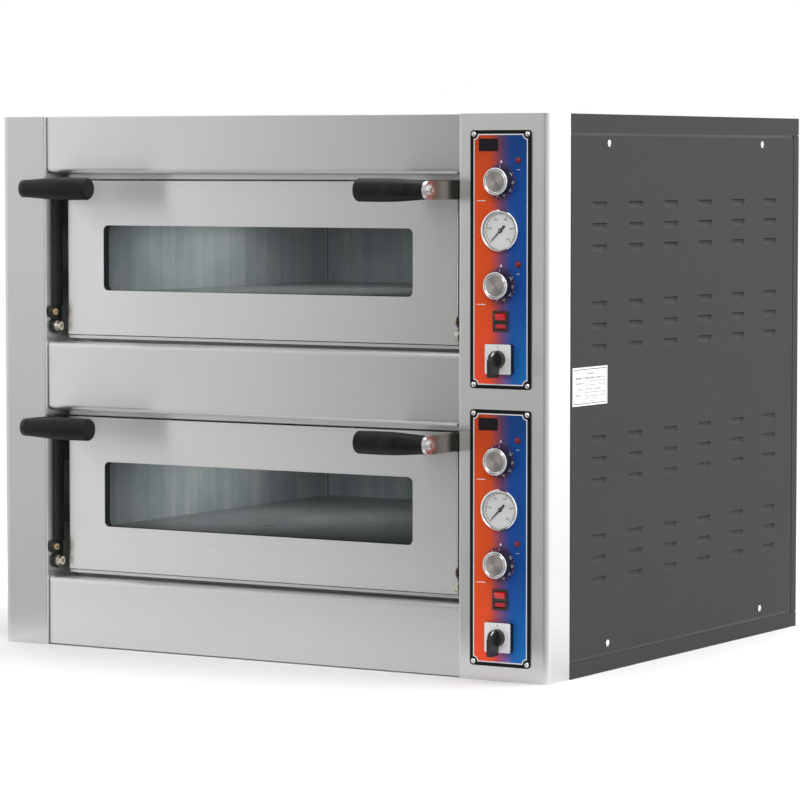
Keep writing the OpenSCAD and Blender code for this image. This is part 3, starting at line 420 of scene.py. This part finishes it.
def overlay(deck):
    """Printed control overlay: black rim, white line with scalloped corners, orange to blue."""
    lo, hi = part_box(deck + "_control_plate")
    centre = (lo + hi) / 2
    half_w, half_h = (hi.x - lo.x) / 2, (hi.z - lo.z) / 2
    rim, line_w = 5.3 * MM, 1.5 * MM
    scallop_inset, scallop_r = 5.6 * MM, 6.6 * MM
    g = Graph(deck + "_overlay")
    dx, dz = g.less(g.pos[0], centre.x), g.less(g.pos[2], centre.z)
    from_x, from_z = g.size(dx), g.size(dz)

    inside = g.math("MINIMUM", g.less(half_w - rim, from_x), g.less(half_h - rim, from_z))
    corner = g.hypot(g.less(from_x, half_w - scallop_inset), g.less(from_z, half_h - scallop_inset))
    depth = g.math("MINIMUM", inside, g.less(corner, scallop_r))
    line = g.band(depth, 0.0, line_w, 0.25 * MM)
    fill = g.remap(depth, line_w - 0.3 * MM, line_w + 0.1 * MM)

    wander = g.times(g.less(g.noise(11.0, 2.0, 0.5), 0.5), 0.10)
    across = g.add(g.remap(dx, -half_w, half_w), wander)
    low = g.remap(dz, -half_h, -half_h * 0.25, 1.0, 0.0, smooth=True)
    high = g.remap(dz, half_h * 0.55, half_h * 0.95, 0.0, 0.35, smooth=True)
    ink = g.mix(low, g.ramp(across, PRINT_TOP), g.ramp(across, PRINT_LOW))
    ink = g.mix(high, ink, (0.0, 0.0, 0.0))
    ink = g.mix(g.remap(g.noise(2400.0, 2.0, 0.5), 0.3, 0.7, 0.0, 0.008), ink, (0.9, 0.9, 0.9))

    tag_w, tag_h, soft = 31.6 * MM, 17.8 * MM, 0.1 * MM
    tag_from_left, tag_from_top = 29.4 * MM, 20.6 * MM
    tag_x = g.size(g.less(dx, tag_from_left - half_w))
    tag_z = g.size(g.less(dz, half_h - tag_from_top))
    tag = g.times(g.remap(tag_x, tag_w / 2 - soft, tag_w / 2 + soft, 1.0, 0.0),
                  g.remap(tag_z, tag_h / 2 - soft, tag_h / 2 + soft, 1.0, 0.0))
    ink = g.mix(tag, ink, (0.012, 0.010, 0.012))
    base = g.mix(fill, (0.006, 0.006, 0.007), ink)
    base = g.mix(line, base, (0.80, 0.82, 0.85))
    g.principled(Base_Color=base, Roughness=g.remap(g.noise(40.0), 0.3, 0.7, 0.30, 0.42),
                 Specular_IOR_Level=0.15, Normal=g.bump(g.noise(1800.0), 0.08, 0.00005))
    return g.mat


def bar_metal(deck):
    """Handle bars: the left one black, the right one ground steel, its rounded nose painted near white as a
    painted highlight.
    """
    lo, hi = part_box(deck + "_handle_bars")
    middle = (lo.x + hi.x) / 2
    g = Graph(deck + "_bar_metal")
    right = g.remap(g.pos[0], middle - MM, middle + MM)
    nose = g.remap(g.pos[1], lo.y + 21 * MM, lo.y + 16 * MM)
    ground = g.noise((800.0, 6.0, 800.0), 3.0, 0.6)
    # Painted highlight: the right bar's rounded nose gets a near-white colour
    base = g.mix(right, (0.012, 0.012, 0.013), g.mix(nose, (0.42, 0.40, 0.365), (0.72, 0.72, 0.72)))
    rough = g.add(g.remap(nose, 0.0, 1.0, 0.30, 0.26), g.remap(ground, 0.3, 0.7, -0.03, 0.06))
    g.principled(Base_Color=base, Metallic=right, Roughness=rough, Normal=g.bump(ground, 0.1, 0.00006))
    return g.mat


def rocker_red(deck):
    """Red rocker painted brighter towards the top and darker below as painted light and shade on its facets,
    with a painted shade band just below the middle.
    """
    lo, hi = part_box(deck + "_rocker")
    band_z, band_half = (lo.z + hi.z) / 2 - 1.6 * MM, 3.1 * MM
    g = Graph(deck + "_rocker_red")
    # Painted shade: a near-black band just below the middle, where the two facets meet
    band = g.band(g.pos[2], band_z - band_half, band_z + band_half, 0.15 * MM)
    ribs = g.noise((2600.0, 300.0, 300.0), 1.0, 0.5)
    # Painted light and shade: darker red low down for the shaded lower facet, brighter red high up for the
    # lit upper facet
    base = g.mix(g.remap(g.pos[2], lo.z, hi.z), (0.45, 0.012, 0.02), (0.86, 0.02, 0.025))
    base = g.mix(band, base, (0.012, 0.006, 0.006))
    g.principled(Base_Color=base, Roughness=g.remap(g.noise(120.0), 0.3, 0.7, 0.18, 0.3), Coat_Weight=0.4,
                 Subsurface_Weight=0.05, Normal=g.bump(ribs, 0.15, 0.0001))
    return g.mat


# Bars and boxes on the rating plate, in mm from its middle: left, right, bottom, top
PLATE_BARS = ((-10, 12, 17.0, 19.6), (-43, 44, 10.2, 13.4), (-43, -18, 3.2, 5.6), (-43, -24, -5.2, -2.8),
              (-12, 34, -5.0, -3.2), (-43, -26, -13.6, -11.2), (-43, 40, -17.8, -16.8),
              (-43, 44, -21.4, -20.4))
PLATE_BOXES = ((-14, 44, 1.2, 8.0), (-14, 44, -14.8, -8.0))


def label_foil():
    """White data plate: a ruled frame, blank boxes and grey bars, nothing written on it."""
    lo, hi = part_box("rating_plate")
    centre = (lo + hi) / 2
    margin, box_line = 3.0, 1.1
    right, top = (hi.y - lo.y) / 2 / MM - margin, (hi.z - lo.z) / 2 / MM - margin
    g = Graph("label_foil")
    dy = g.math("DIVIDE", g.less(g.pos[1], centre.y), MM)
    dz = g.math("DIVIDE", g.less(g.pos[2], centre.z), MM)

    def area(y0, y1, z0, z1):
        return g.times(g.band(dy, y0, y1, 0.1), g.band(dz, z0, z1, 0.1))

    def outline(y0, y1, z0, z1):
        inner = area(y0 + 1.6 * box_line, y1 - 1.6 * box_line, z0 + box_line, z1 - box_line)
        return g.less(area(y0, y1, z0, z1), inner, clamp=True)

    rules = g.most(*(area(-right, right, z - 0.6, z + 0.6) for z in (-top, top)))
    sides = g.most(*(area(y - 0.7, y + 0.7, -top, top) for y in (-right, right)))
    fields = g.most(*(outline(*box) for box in PLATE_BOXES))
    broken = g.remap(g.noise((0.0, 260.0, 60.0), 2.0, 0.5), 0.42, 0.52, 0.35, 1.0)
    bars = g.times(g.most(*(area(*bar) for bar in PLATE_BARS)), broken)
    paper = g.noise(700.0, 3.0, 0.5)
    grey = (0.12, 0.12, 0.13)
    base = g.mix(g.remap(paper, 0.3, 0.7), (0.90, 0.90, 0.90), (0.97, 0.97, 0.97))
    base = g.mix(g.times(g.most(fields, sides), 0.8), base, grey)
    base = g.mix(g.times(bars, 0.75), base, grey)
    base = g.mix(rules, base, (0.03, 0.03, 0.035))
    g.principled(Base_Color=base, Roughness=g.remap(paper, 0.3, 0.7, 0.40, 0.48),
                 Normal=g.bump(paper, 0.05, 0.00005))
    return g.mat


def print_ink(name, colour):
    """Flat screen-printed ink with a fine grain."""
    g = Graph(name)
    grain = g.noise(3000.0, 2.0, 0.5)
    g.principled(Base_Color=g.mix(g.remap(grain, 0.3, 0.7), darker(colour, 0.88), colour),
                 Roughness=g.remap(grain, 0.3, 0.7, 0.4, 0.5))
    return g.mat


def lens_red():
    """Unlit red lamp lens with moulded facets."""
    g = Graph("lens_red")
    facets = g.cells(1500.0)
    base = g.mix(g.remap(facets, 0.0, 0.6), (0.36, 0.004, 0.008), (0.20, 0.002, 0.004))
    g.principled(Base_Color=base, Roughness=g.remap(facets, 0.0, 0.6, 0.3, 0.4), Coat_Weight=0.1,
                 Coat_Roughness=0.2, Subsurface_Weight=0.1, Normal=g.bump(facets, 0.12, 0.0001))
    return g.mat


def satin_disc(centre_x, centre_z):
    """Spun aluminium insert: rings round the knob's centre and a painted sheen, lighter and darker sectors
    standing for a turned disc's highlights.
    """
    g = Graph("knob_insert")
    dx, dz = g.less(g.pos[0], centre_x), g.less(g.pos[2], centre_z)
    radians_per_metre = 14000.0
    turned = g.math("SINE", g.times(g.hypot(dx, dz), radians_per_metre))
    # Painted sheen: the colour turns lighter and darker in sectors round the centre, like the highlights on a
    # turned disc
    painted_sheen = g.math("SINE", g.add(g.times(g.math("ARCTAN2", dz, dx), 2.0), 0.6))
    base = g.mix(g.remap(painted_sheen, -1.0, 1.0), (0.30, 0.285, 0.265), (0.50, 0.48, 0.45))
    g.principled(Base_Color=base, Metallic=0.9, Roughness=0.38, Normal=g.bump(turned, 0.12, 0.00004))
    return g.mat


def smoked_clear():
    """Clear skirt of a knob: a smoky see-through disc."""
    g = Graph("smoked_clear")
    cloud = g.noise(70.0, 3.0, 0.5)
    g.principled(Base_Color=g.mix(cloud, (0.05, 0.03, 0.09), (0.09, 0.06, 0.14)), Coat_Weight=0.6,
                 Roughness=g.remap(cloud, 0.3, 0.7, 0.06, 0.12), Alpha=g.remap(cloud, 0.3, 0.7, 0.26, 0.34))
    return g.mat


def cam_plate_finish():
    """Cam switch: silver-white face plate on black sides."""
    face_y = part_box("cam_switch_bodies")[0].y
    g = Graph("cam_plate_finish")
    normal = g.xyz(g.node("ShaderNodeNewGeometry").outputs["True Normal"])
    facing = g.remap(normal[1], -0.98, -0.9, 1.0, 0.0)
    near = g.remap(g.pos[1], face_y + 0.3 * MM, face_y + 0.5 * MM, 1.0, 0.0)
    face = g.times(facing, near)
    brushed = g.noise((5.0, 500.0, 1500.0), 3.0, 0.6)
    silver = g.mix(brushed, (0.84, 0.84, 0.84), (0.95, 0.95, 0.96))
    g.principled(Base_Color=g.mix(face, (0.010, 0.010, 0.012), silver), Metallic=g.times(face, 0.12),
                 Roughness=g.remap(brushed, 0.3, 0.7, 0.3, 0.42), Normal=g.bump(brushed, 0.08, 0.00005))
    return g.mat


def lamp_glass():
    """Frosted oven lamp dome with a faint warm glow."""
    g = Graph("lamp_glass")
    frost = g.noise(600.0, 3.0, 0.5)
    g.principled(Base_Color=(0.92, 0.90, 0.84), Roughness=g.remap(frost, 0.3, 0.7, 0.2, 0.4), Coat_Weight=0.5,
                 Emission_Color=(1.0, 0.88, 0.7), Emission_Strength=0.12, Normal=g.bump(frost, 0.2, 0.0002))
    return g.mat


STEEL_X = steel("steel_across", 0)
STEEL_Z = steel("steel_upright", 2)
DOOR_STEEL = steel("door_steel", 0, 0.765, 0.28)
INNER_STEEL = steel("inner_steel", 2, 0.60, 0.36, 0.05, 0.3)
CASING = powder_coat("casing_grey", (0.040, 0.040, 0.0425), 0.6, gloss=0.12)
FRAME_BLACK = powder_coat("frame_black", (0.020, 0.020, 0.021), 0.5)
LEVER_BLACK = powder_coat("lever_black", (0.014, 0.015, 0.016), 0.40, 0.2)
GRIP_BLACK = plastic("grip_black", (0.005, 0.005, 0.006), 0.42, 1100.0, 0.22, gloss=0.2)
CAM_BLACK = plastic("cam_black", (0.016, 0.015, 0.015), 0.38, 1300.0, 0.2, gloss=0.4)
DEVICE_BLACK = plastic("device_black", (0.016, 0.016, 0.018), 0.45)
SEAL_BLACK = plastic("seal_black", (0.010, 0.011, 0.012), 0.6, 700.0, 0.3)
IVORY = plastic("terminal_ivory", (0.62, 0.57, 0.46), 0.5)
ZINC = bright_metal("zinc", (0.82, 0.82, 0.80), 0.18)
CHROME = bright_metal("chrome", (0.93, 0.93, 0.93), 0.07, 120.0)
HINGE_METAL = bright_metal("hinge_metal", (0.74, 0.69, 0.60), 0.2)
NEEDLE = plastic("needle_black", (0.008, 0.008, 0.008), 0.5)
WHITE_INK = print_ink("white_ink", (0.86, 0.87, 0.90))
BLACK_INK = print_ink("black_ink", (0.03, 0.03, 0.035))
DIAL_WHITE = print_ink("dial_white", (0.96, 0.95, 0.94))
DOOR_PANE = pane("door_pane", (0.935, 0.94, 0.937), 0.012, 0.03)
GAUGE_PANE = pane("gauge_pane", (0.985, 0.99, 0.99), 0.008, 0.01)
SMOKED = smoked_clear()


def paint(material, *names):
    """Puts a material on CAD nodes, on their objects and not in their meshes."""
    for name in names:
        for s in nodes[name].material_slots:
            s.link = "OBJECT"
            s.material = material


paint(CASING, "base_tray", "top_cover", "back_panel", "left_side_panel", "right_side_panel")
paint(ZINC, "casing_screws", "plate_screws")
paint(STEEL_Z, "left_pillar", "control_pillar")
paint(STEEL_X, "top_fascia", "middle_fascia", "bottom_fascia", "front_frame")
paint(label_foil(), "rating_plate")
# The chassis frame's near-black paint, chosen dark also as painted shade for the gaps between casing panels
# where the frame shows
paint(FRAME_BLACK, "chassis_frame")
paint(chamber_steel(), "upper_chamber", "lower_chamber")
paint(wool("wool"), "chamber_insulation")
paint(stone(), "floor_stones")
paint(element_metal(), "heating_elements")
paint(lamp_glass(), "oven_lamps")
paint(HINGE_METAL, "hinge_screws")
paint(DEVICE_BLACK, "thermostats", "rocker_housings", "cable_gland")
paint(GAUGE_PANE, "gauge_glasses")
paint(lens_red(), "indicator_lamps")
paint(cam_plate_finish(), "cam_switch_bodies")
paint(IVORY, "terminal_block")
for deck in DECKS:
    paint(overlay(deck), deck + "_control_plate")
    paint(DOOR_STEEL, deck + "_door_panel")
    paint(INNER_STEEL, deck + "_door_liner")
    paint(wool(deck + "_door_wool_foil", deck), deck + "_door_wool")
    paint(DOOR_PANE, deck + "_door_glass")
    paint(SEAL_BLACK, deck + "_window_seal")
    paint(LEVER_BLACK, deck + "_levers")
    paint(bar_metal(deck), deck + "_handle_bars")
    paint(GRIP_BLACK, deck + "_grips")
    paint(screw_metal(deck), deck + "_door_screws")
    paint(NEEDLE, deck + "_gauge_needle")
    paint(rocker_red(deck), deck + "_rocker")
    paint(CAM_BLACK, deck + "_cam_handle")


# ---------- New pieces ----------

def add_mesh(name, bm, materials, body, smooth_angle=0.0):
    """Turns a bmesh in the row frame into a piece that rides on a body."""
    bmesh.ops.recalc_face_normals(bm, faces=bm.faces)
    mesh = bpy.data.meshes.new(name)
    bm.to_mesh(mesh)
    bm.free()
    for m in materials:
        mesh.materials.append(m)
    obj = bpy.data.objects.new(name, mesh)
    bpy.context.scene.collection.objects.link(obj)
    if smooth_angle:
        for p in mesh.polygons:
            p.use_smooth = True
        mesh.set_sharp_from_angle(angle=math.radians(smooth_angle))
    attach(obj, body)
    return obj


def place(x, y, z, offset_x=0.0, offset_z=0.0):
    """A point offset by mm across and up."""
    return (x + offset_x * MM, y, z + offset_z * MM)


def polar(centre, radius, turn):
    """A point at a radius in mm from centre, turned clockwise from straight up."""
    return place(*centre, radius * math.sin(turn), radius * math.cos(turn))


def lathe(bm, centre, profile, steps=96, finish=0, ripple=None):
    """Turns a profile of (radius mm, height mm) round an axis that points to the front.
    centre is (x, y, z) in metres at height 0. ripple(radius, height, angle) changes a radius."""
    x, y, z = centre
    rings = []
    for radius, height in profile:
        ring = []
        for k in range(steps if radius else 1):
            angle = 2 * math.pi * k / steps
            r = ripple(radius, height, angle) if ripple else radius
            ring.append(bm.verts.new(polar((x, y - height * MM, z), r, angle)))
        rings.append(ring)
    for a, b in zip(rings, rings[1:]):
        for k in range(steps):
            j = (k + 1) % steps
            corners = [a[k % len(a)], a[j % len(a)], b[j % len(b)], b[k % len(b)]]
            unique = list(dict.fromkeys(corners))
            if len(unique) > 2:
                bm.faces.new(unique).material_index = finish


def label(bm, text, height, centre, turn=0.0):
    """Lays text of a height in mm flat, facing the front, at centre, turned clockwise."""
    size_for_height = 1.38
    curve = bpy.data.curves.new("label", "FONT")
    curve.body = text
    curve.size = height * MM * size_for_height
    curve.align_x = "CENTER"
    curve.align_y = "CENTER"
    curve.resolution_u = 3
    obj = bpy.data.objects.new("label", curve)
    bpy.context.scene.collection.objects.link(obj)
    bpy.context.view_layer.update()
    mesh = bpy.data.meshes.new_from_object(obj.evaluated_get(bpy.context.evaluated_depsgraph_get()))
    bpy.data.objects.remove(obj)
    facing = Matrix(((1, 0, 0), (0, 0, -1), (0, 1, 0))).to_4x4()
    mesh.transform(Matrix.Translation(centre) @ Matrix.Rotation(turn, 4, "Y") @ facing)
    bm.from_mesh(mesh)
    bpy.data.meshes.remove(mesh)


def quad(bm, centre, points, turn=0.0):
    """A flat polygon facing the front: (across mm, up mm) points round a centre, turned clockwise."""
    c, s = math.cos(turn), math.sin(turn)
    bm.faces.new([bm.verts.new(place(*centre, x * c + z * s, -x * s + z * c)) for x, z in points])


def bar(bm, centre, half_w, below, above=None, turn=0.0):
    """An upright printed bar: its half width and how far it goes below and above centre, in mm."""
    top = below if above is None else above
    quad(bm, centre, ((-half_w, -below), (half_w, -below), (half_w, top), (-half_w, top)), turn)


def plate_front(deck, joint):
    """Where a control's axis meets the front of its plate."""
    pos = joints[joint]["pos_m"]
    return (pos[0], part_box(deck + "_control_plate")[0].y, pos[2])


def ahead(centre, distance):
    """A point further to the front by mm."""
    return (centre[0], centre[1] - distance * MM, centre[2])


# Turned outlines as (radius mm, height mm over the plate)
KNOB_BARREL = ((3.0, -18.0), (3.0, 1.6), (17.4, 1.6), (17.4, 3.5), (17.7, 4.0), (17.9, 14.6), (18.4, 15.0))
KNOB_RING = ((18.4, 15.0), (19.0, 15.2), (19.25, 16.0), (19.2, 17.3), (18.7, 18.1), (17.9, 18.4),
             (17.2, 18.2), (16.9, 17.6))
KNOB_GROOVE = ((16.9, 17.6), (16.3, 17.5))
KNOB_BEAD = ((16.3, 17.5), (16.1, 17.9), (15.6, 18.15), (15.1, 17.9), (14.9, 17.6))
KNOB_DISC = ((14.9, 17.6), (12.0, 17.75), (6.0, 17.85), (0, 17.9))
SKIRT_TOP = 3.6
KNOB_SKIRT = ((17.5, 1.7), (24.3, 1.7), (25.0, 2.1), (25.0, 3.0), (24.5, 3.5), (22.5, SKIRT_TOP),
              (17.5, SKIRT_TOP))
GAUGE_BEZEL = ((29.6, 0.0), (30.0, 0.6), (30.0, 3.2), (29.8, 5.2), (29.2, 6.6), (28.3, 7.35), (27.4, 7.45),
               (26.7, 7.0), (26.4, 6.4))
GAUGE_WALL = ((26.4, 6.4), (26.2, 5.2), (26.0, 1.6))
DIAL_TOP = 1.5
GAUGE_DIAL = ((26.0, 1.6), (25.6, DIAL_TOP), (1.0, DIAL_TOP))
GAUGE_PIN = ((1.0, DIAL_TOP), (1.0, 3.6), (0.7, 3.7), (0, 3.7))
GAUGE_CUP = ((29.6, 0.0), (27.0, 0.0), (27.0, -26.0), (0, -26.0))


def fluted(radius, height, angle):
    """The knob barrel's radius with 40 shallow flutes between its ends."""
    return radius - (0.35 * abs(math.sin(20 * angle)) if 3.9 < height < 14.8 else 0.0)


def knob(deck, which):
    """Thermostat knob: fluted barrel with a bright ring and disc, clear skirt and printed scale."""
    node, body = f"{deck}_{which}_knob", f"{deck}_{which}_dial"
    turn_joint = f"{deck}_{which}_turn"
    centre = plate_front(deck, turn_joint)
    black, bright, disc = 0, 1, 2
    bm = bmesh.new()
    lathe(bm, centre, KNOB_BARREL, 160, black, fluted)
    lathe(bm, centre, KNOB_RING, finish=bright)
    lathe(bm, centre, KNOB_GROOVE, finish=black)
    lathe(bm, centre, KNOB_BEAD, finish=bright)
    lathe(bm, centre, KNOB_DISC, finish=disc)
    finishes = (DEVICE_BLACK, CHROME, satin_disc(centre[0], centre[2]))
    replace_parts(add_mesh(node + "_cap", bm, finishes, body, 50), node)
    bm = bmesh.new()
    lathe(bm, centre, KNOB_SKIRT)
    add_mesh(node + "_skirt", bm, (SMOKED,), body, 40)
    bm = bmesh.new()
    face = ahead(centre, SKIRT_TOP + 0.12)
    number_r, mark_r, small_mark_r = 20.4, 23.6, 23.8
    steps, degrees_per_step = 9, 50
    sweep = math.radians(joints[turn_joint]["range_deg"][1])
    for k in range(steps + 1):
        turn = -k * sweep / steps
        label(bm, str(k * degrees_per_step), 2.5, polar(face, number_r, turn), turn)
        bar(bm, polar(face, mark_r, turn), 0.22, 0.9, 0.7, turn)
        if k < steps:
            between = turn - sweep / steps / 2
            bar(bm, polar(face, small_mark_r, between), 0.15, 0.5, turn=between)
    add_mesh(node + "_scale", bm, (WHITE_INK,), body)


def gauge(deck):
    """Round gauge: cup with a bright bezel, white dial and pin, and the dial's printed scale."""
    centre = plate_front(deck, deck + "_needle_swing")
    bm = bmesh.new()
    lathe(bm, centre, GAUGE_BEZEL, 128, 0)
    lathe(bm, centre, GAUGE_WALL, 128, 1)
    lathe(bm, centre, GAUGE_DIAL, 128, 2)
    lathe(bm, centre, GAUGE_PIN, 24, 0)
    lathe(bm, centre, GAUGE_CUP, 64, 3)
    finishes = (CHROME, INNER_STEEL, DIAL_WHITE, DEVICE_BLACK)
    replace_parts(add_mesh(deck + "_gauge_case", bm, finishes, "casing", 30), "gauge_cases")
    bm = bmesh.new()
    face = ahead(centre, DIAL_TOP + 0.08)
    start, sweep = math.radians(-135), math.radians(270)
    steps, steps_per_number, degrees_per_step = 20, 4, 25
    number_r, mark_r, outer_r, inner_r, arc_steps = 17.3, 23.6, 23.9, 23.55, 60
    for k in range(steps + 1):
        turn = start + sweep * k / steps
        major = k % steps_per_number == 0
        length, half_w = (3.0, 0.42) if major else (1.8, 0.25)
        bar(bm, polar(face, mark_r - length / 2, turn), half_w, length / 2, turn=turn)
        if major:
            label(bm, str(k * degrees_per_step), 3.0, polar(face, number_r, turn))
    for k in range(arc_steps):
        a, b = (start + sweep * i / arc_steps for i in (k, k + 1))
        corners = ((outer_r, a), (outer_r, b), (inner_r, b), (inner_r, a))
        bm.faces.new([bm.verts.new(polar(face, radius, turn)) for radius, turn in corners])
    add_mesh(deck + "_gauge_scale", bm, (BLACK_INK,), "casing")


def plate_print(deck):
    """White marks printed on the control overlay: over each knob a pointer, and short rules
    below it on the left and under the lamp on the right. Offsets in mm from the knob."""
    pointer, left_rule, lamp_rule = (0, 28.2), (-32, -27), (27.5, 16.5)
    bm = bmesh.new()
    for which in ("roof", "floor"):
        centre = ahead(plate_front(deck, f"{deck}_{which}_turn"), 0.05)
        quad(bm, place(*centre, *pointer), ((-2.0, -1.9), (2.0, -1.9), (0.0, 2.3)))
        bar(bm, place(*centre, *left_rule), 7.0, 0.55)
        bar(bm, place(*centre, *lamp_rule), 2.6, 0.3)
    add_mesh(deck + "_plate_print", bm, (WHITE_INK,), "casing")


def cam_marks(deck):
    """Position marks on the cam switch plate and the white line on its handle."""
    pos = joints[deck + "_power_turn"]["pos_m"]
    face = (pos[0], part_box("cam_switch_bodies")[0].y - 0.06 * MM, pos[2])
    quarter = math.pi / 2
    number_r, mark_r = 16.8, 15.5
    bm = bmesh.new()
    for k, text in enumerate("01"):
        label(bm, text, 3.4, polar(face, number_r, k * quarter))
    for k in range(4):
        turn = (k + 0.5) * quarter
        bar(bm, polar(face, mark_r, turn), 0.2, 1.2, turn=turn)
    add_mesh(deck + "_cam_marks", bm, (BLACK_INK,), "casing")
    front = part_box(deck + "_cam_handle")[0].y
    # The line lies on the handle's sloping back, between these two ends of the slope
    slope_top = Vector((pos[0], front + 14.9 * MM, pos[2] + 11.5 * MM))
    slope_foot = Vector((pos[0], front + 4.2 * MM, pos[2] + 2.9 * MM))
    lift = Vector((0, -0.62, 0.78)) * 0.12 * MM
    side = Vector((1.1 * MM, 0, 0))
    near, far = slope_foot.lerp(slope_top, 0.25), slope_foot.lerp(slope_top, 0.85)
    bm = bmesh.new()
    bm.faces.new([bm.verts.new(v + lift) for v in (near - side, near + side, far + side, far - side)])
    add_mesh(deck + "_cam_pointer", bm, (WHITE_INK,), deck + "_power_switch")


for deck in DECKS:
    for which in ("roof", "floor"):
        knob(deck, which)
    gauge(deck)
    plate_print(deck)
    cam_marks(deck)


# ---------- Floor, light and camera ----------

# The room in reflections: (X part of the direction, strength) for directions to the front,
# and the strength behind on the left and elsewhere
ROOM_FRONT = ((-0.94, 1.0), (-0.80, 1.55), (-0.64, 1.30), (-0.585, 0.98), (-0.577, 0.88), (-0.572, 0.98),
              (-0.545, 0.83), (-0.521, 0.62), (-0.514, 0.44), (-0.486, 0.24), (-0.36, 0.10), (-0.1, 0.24),
              (0.6, 0.9))
ROOM_BACK_LEFT, ROOM_BACK = 0.80, 1.85


def room_strength(g, direction):
    """Node socket with the room's brightness in a direction."""
    x, y = g.xyz(direction)[:2]
    brightest = max(level for at, level in ROOM_FRONT)
    stops = [((at + 1) / 2, (level / brightest,) * 3) for at, level in ROOM_FRONT]
    front = g.times(g.ramp(g.remap(x, -1.0, 1.0), stops), brightest)
    back = g.remap(x, -0.7, 0.1, ROOM_BACK_LEFT, ROOM_BACK)
    return g.lerp(g.remap(y, -0.45, 0.15, smooth=True), front, back)


def floor():
    """Pale floor: matt round the oven and glowing white further off. Past the oven's foot it
    shows other rays than the camera's the room's brightness, dimmer the more steeply they fall."""
    reach = 40.0
    g = Graph("studio_floor")
    radius = g.hypot(g.pos[0], g.pos[1])
    matt = g.node("ShaderNodeBsdfDiffuse")
    g.put((0.93, 0.93, 0.93), matt.inputs[0])
    away = g.node("ShaderNodeVectorMath", operation="SCALE")
    g.put(g.node("ShaderNodeNewGeometry").outputs["Incoming"], away.inputs[0])
    g.put(-1.0, away.inputs["Scale"])
    seen = g.node("ShaderNodeLightPath").outputs["Is Camera Ray"]
    dimming = g.remap(g.xyz(away.outputs[0])[2], -0.03, -0.14, 0.95, 0.70)
    mirrored = g.times(room_strength(g, away.outputs[0]), dimming)
    glow = g.node("ShaderNodeEmission")
    g.put(g.most(seen, mirrored), glow.inputs["Strength"])
    far = g.remap(radius, 0.9, 2.6, smooth=True)
    far_mirrored = g.times(g.remap(radius, 0.55, 0.9, smooth=True), g.less(1.0, seen))
    surface = g.mix_shader(g.most(far, far_mirrored), matt.outputs[0], glow.outputs[0])
    g.put(surface, g.out.inputs[0])
    bm = bmesh.new()
    bm.faces.new([bm.verts.new((x * reach, y * reach, 0)) for x, y in ((-1, -1), (1, -1), (1, 1), (-1, 1))])
    mesh = bpy.data.meshes.new("floor")
    bm.to_mesh(mesh)
    bm.free()
    mesh.materials.append(g.mat)
    obj = bpy.data.objects.new("floor", mesh)
    bpy.context.scene.collection.objects.link(obj)


def world():
    """A pale studio: white to the camera; its reflection is darker round the camera."""
    w = bpy.data.worlds.new("studio")
    bpy.context.scene.world = w
    w.use_nodes = True
    g = Nodes(w.node_tree)
    room, backdrop = g.node("ShaderNodeBackground"), g.node("ShaderNodeBackground")
    for shader in (room, backdrop):
        g.put((1, 1, 1), shader.inputs["Color"])
    g.put(room_strength(g, g.node("ShaderNodeTexCoord").outputs["Generated"]), room.inputs["Strength"])
    seen = g.node("ShaderNodeLightPath").outputs["Is Camera Ray"]
    both = g.mix_shader(seen, room.outputs[0], backdrop.outputs[0])
    g.put(both, g.node("ShaderNodeOutputWorld").inputs[0])


def aimed(name, data, at, direction):
    """Puts a lamp or a camera at a place, looking in a direction."""
    obj = bpy.data.objects.new(name, data)
    obj.location = at
    obj.rotation_mode = "QUATERNION"
    obj.rotation_quaternion = direction.to_track_quat("-Z", "Y")
    bpy.context.scene.collection.objects.link(obj)
    return obj


def softbox(name, at, target, width, height, radiance, colour=(1, 1, 1)):
    """A rectangular lamp of a given radiance, which the camera doesn't see."""
    data = bpy.data.lights.new(name, "AREA")
    data.shape = "RECTANGLE"
    data.size, data.size_y = width, height
    data.energy = radiance * math.pi * width * height
    data.color = colour
    obj = aimed(name, data, at, Vector(target) - Vector(at))
    obj.visible_camera = False
    return obj


def chamber_glow(deck, radiance):
    """A dim lamp under the roof of a baking chamber, towards its left wall."""
    lo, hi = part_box(deck + "_chamber")
    from_left, from_front, below_roof, side = 0.20, 0.25, 0.03, 0.3
    at = (lo.x + from_left, lo.y + from_front, hi.z - below_roof)
    glow = softbox(deck + "_chamber_glow", at, (at[0], at[1], lo.z), side, side, radiance, (1.0, 0.985, 0.98))
    glow.visible_glossy = False


def camera():
    """Front right view, a little above the oven's middle and looking slightly down."""
    stand = (3.0350, -5.0032, 0.7298)
    azimuth, pitch = math.radians(-31.35), math.radians(-3.58)
    level = math.cos(pitch)
    forward = Vector((math.sin(azimuth) * level, math.cos(azimuth) * level, math.sin(pitch)))
    data = bpy.data.cameras.new("camera")
    data.sensor_width = 36.0
    data.lens = 170.1
    data.clip_start, data.clip_end = 0.05, 100.0
    bpy.context.scene.camera = aimed("camera", data, stand, forward)


floor()
world()
softbox("key", (1.1, -3.1, 2.3), (0.1, -0.4, 0.4), width=1.5, height=1.5, radiance=3.9)
softbox("top", (0.0, 0.1, 2.8), (0, 0, 0.8), width=2.4, height=2.4, radiance=1.6)
softbox("rear", (0.6, 2.8, 1.8), (0, 0.3, 0.4), width=2.0, height=1.6, radiance=1.2)
chamber_glow("upper", 4.9)
chamber_glow("lower", 4.2)
camera()

view = bpy.context.scene.view_settings
view.view_transform = "Standard"
view.look = "None"
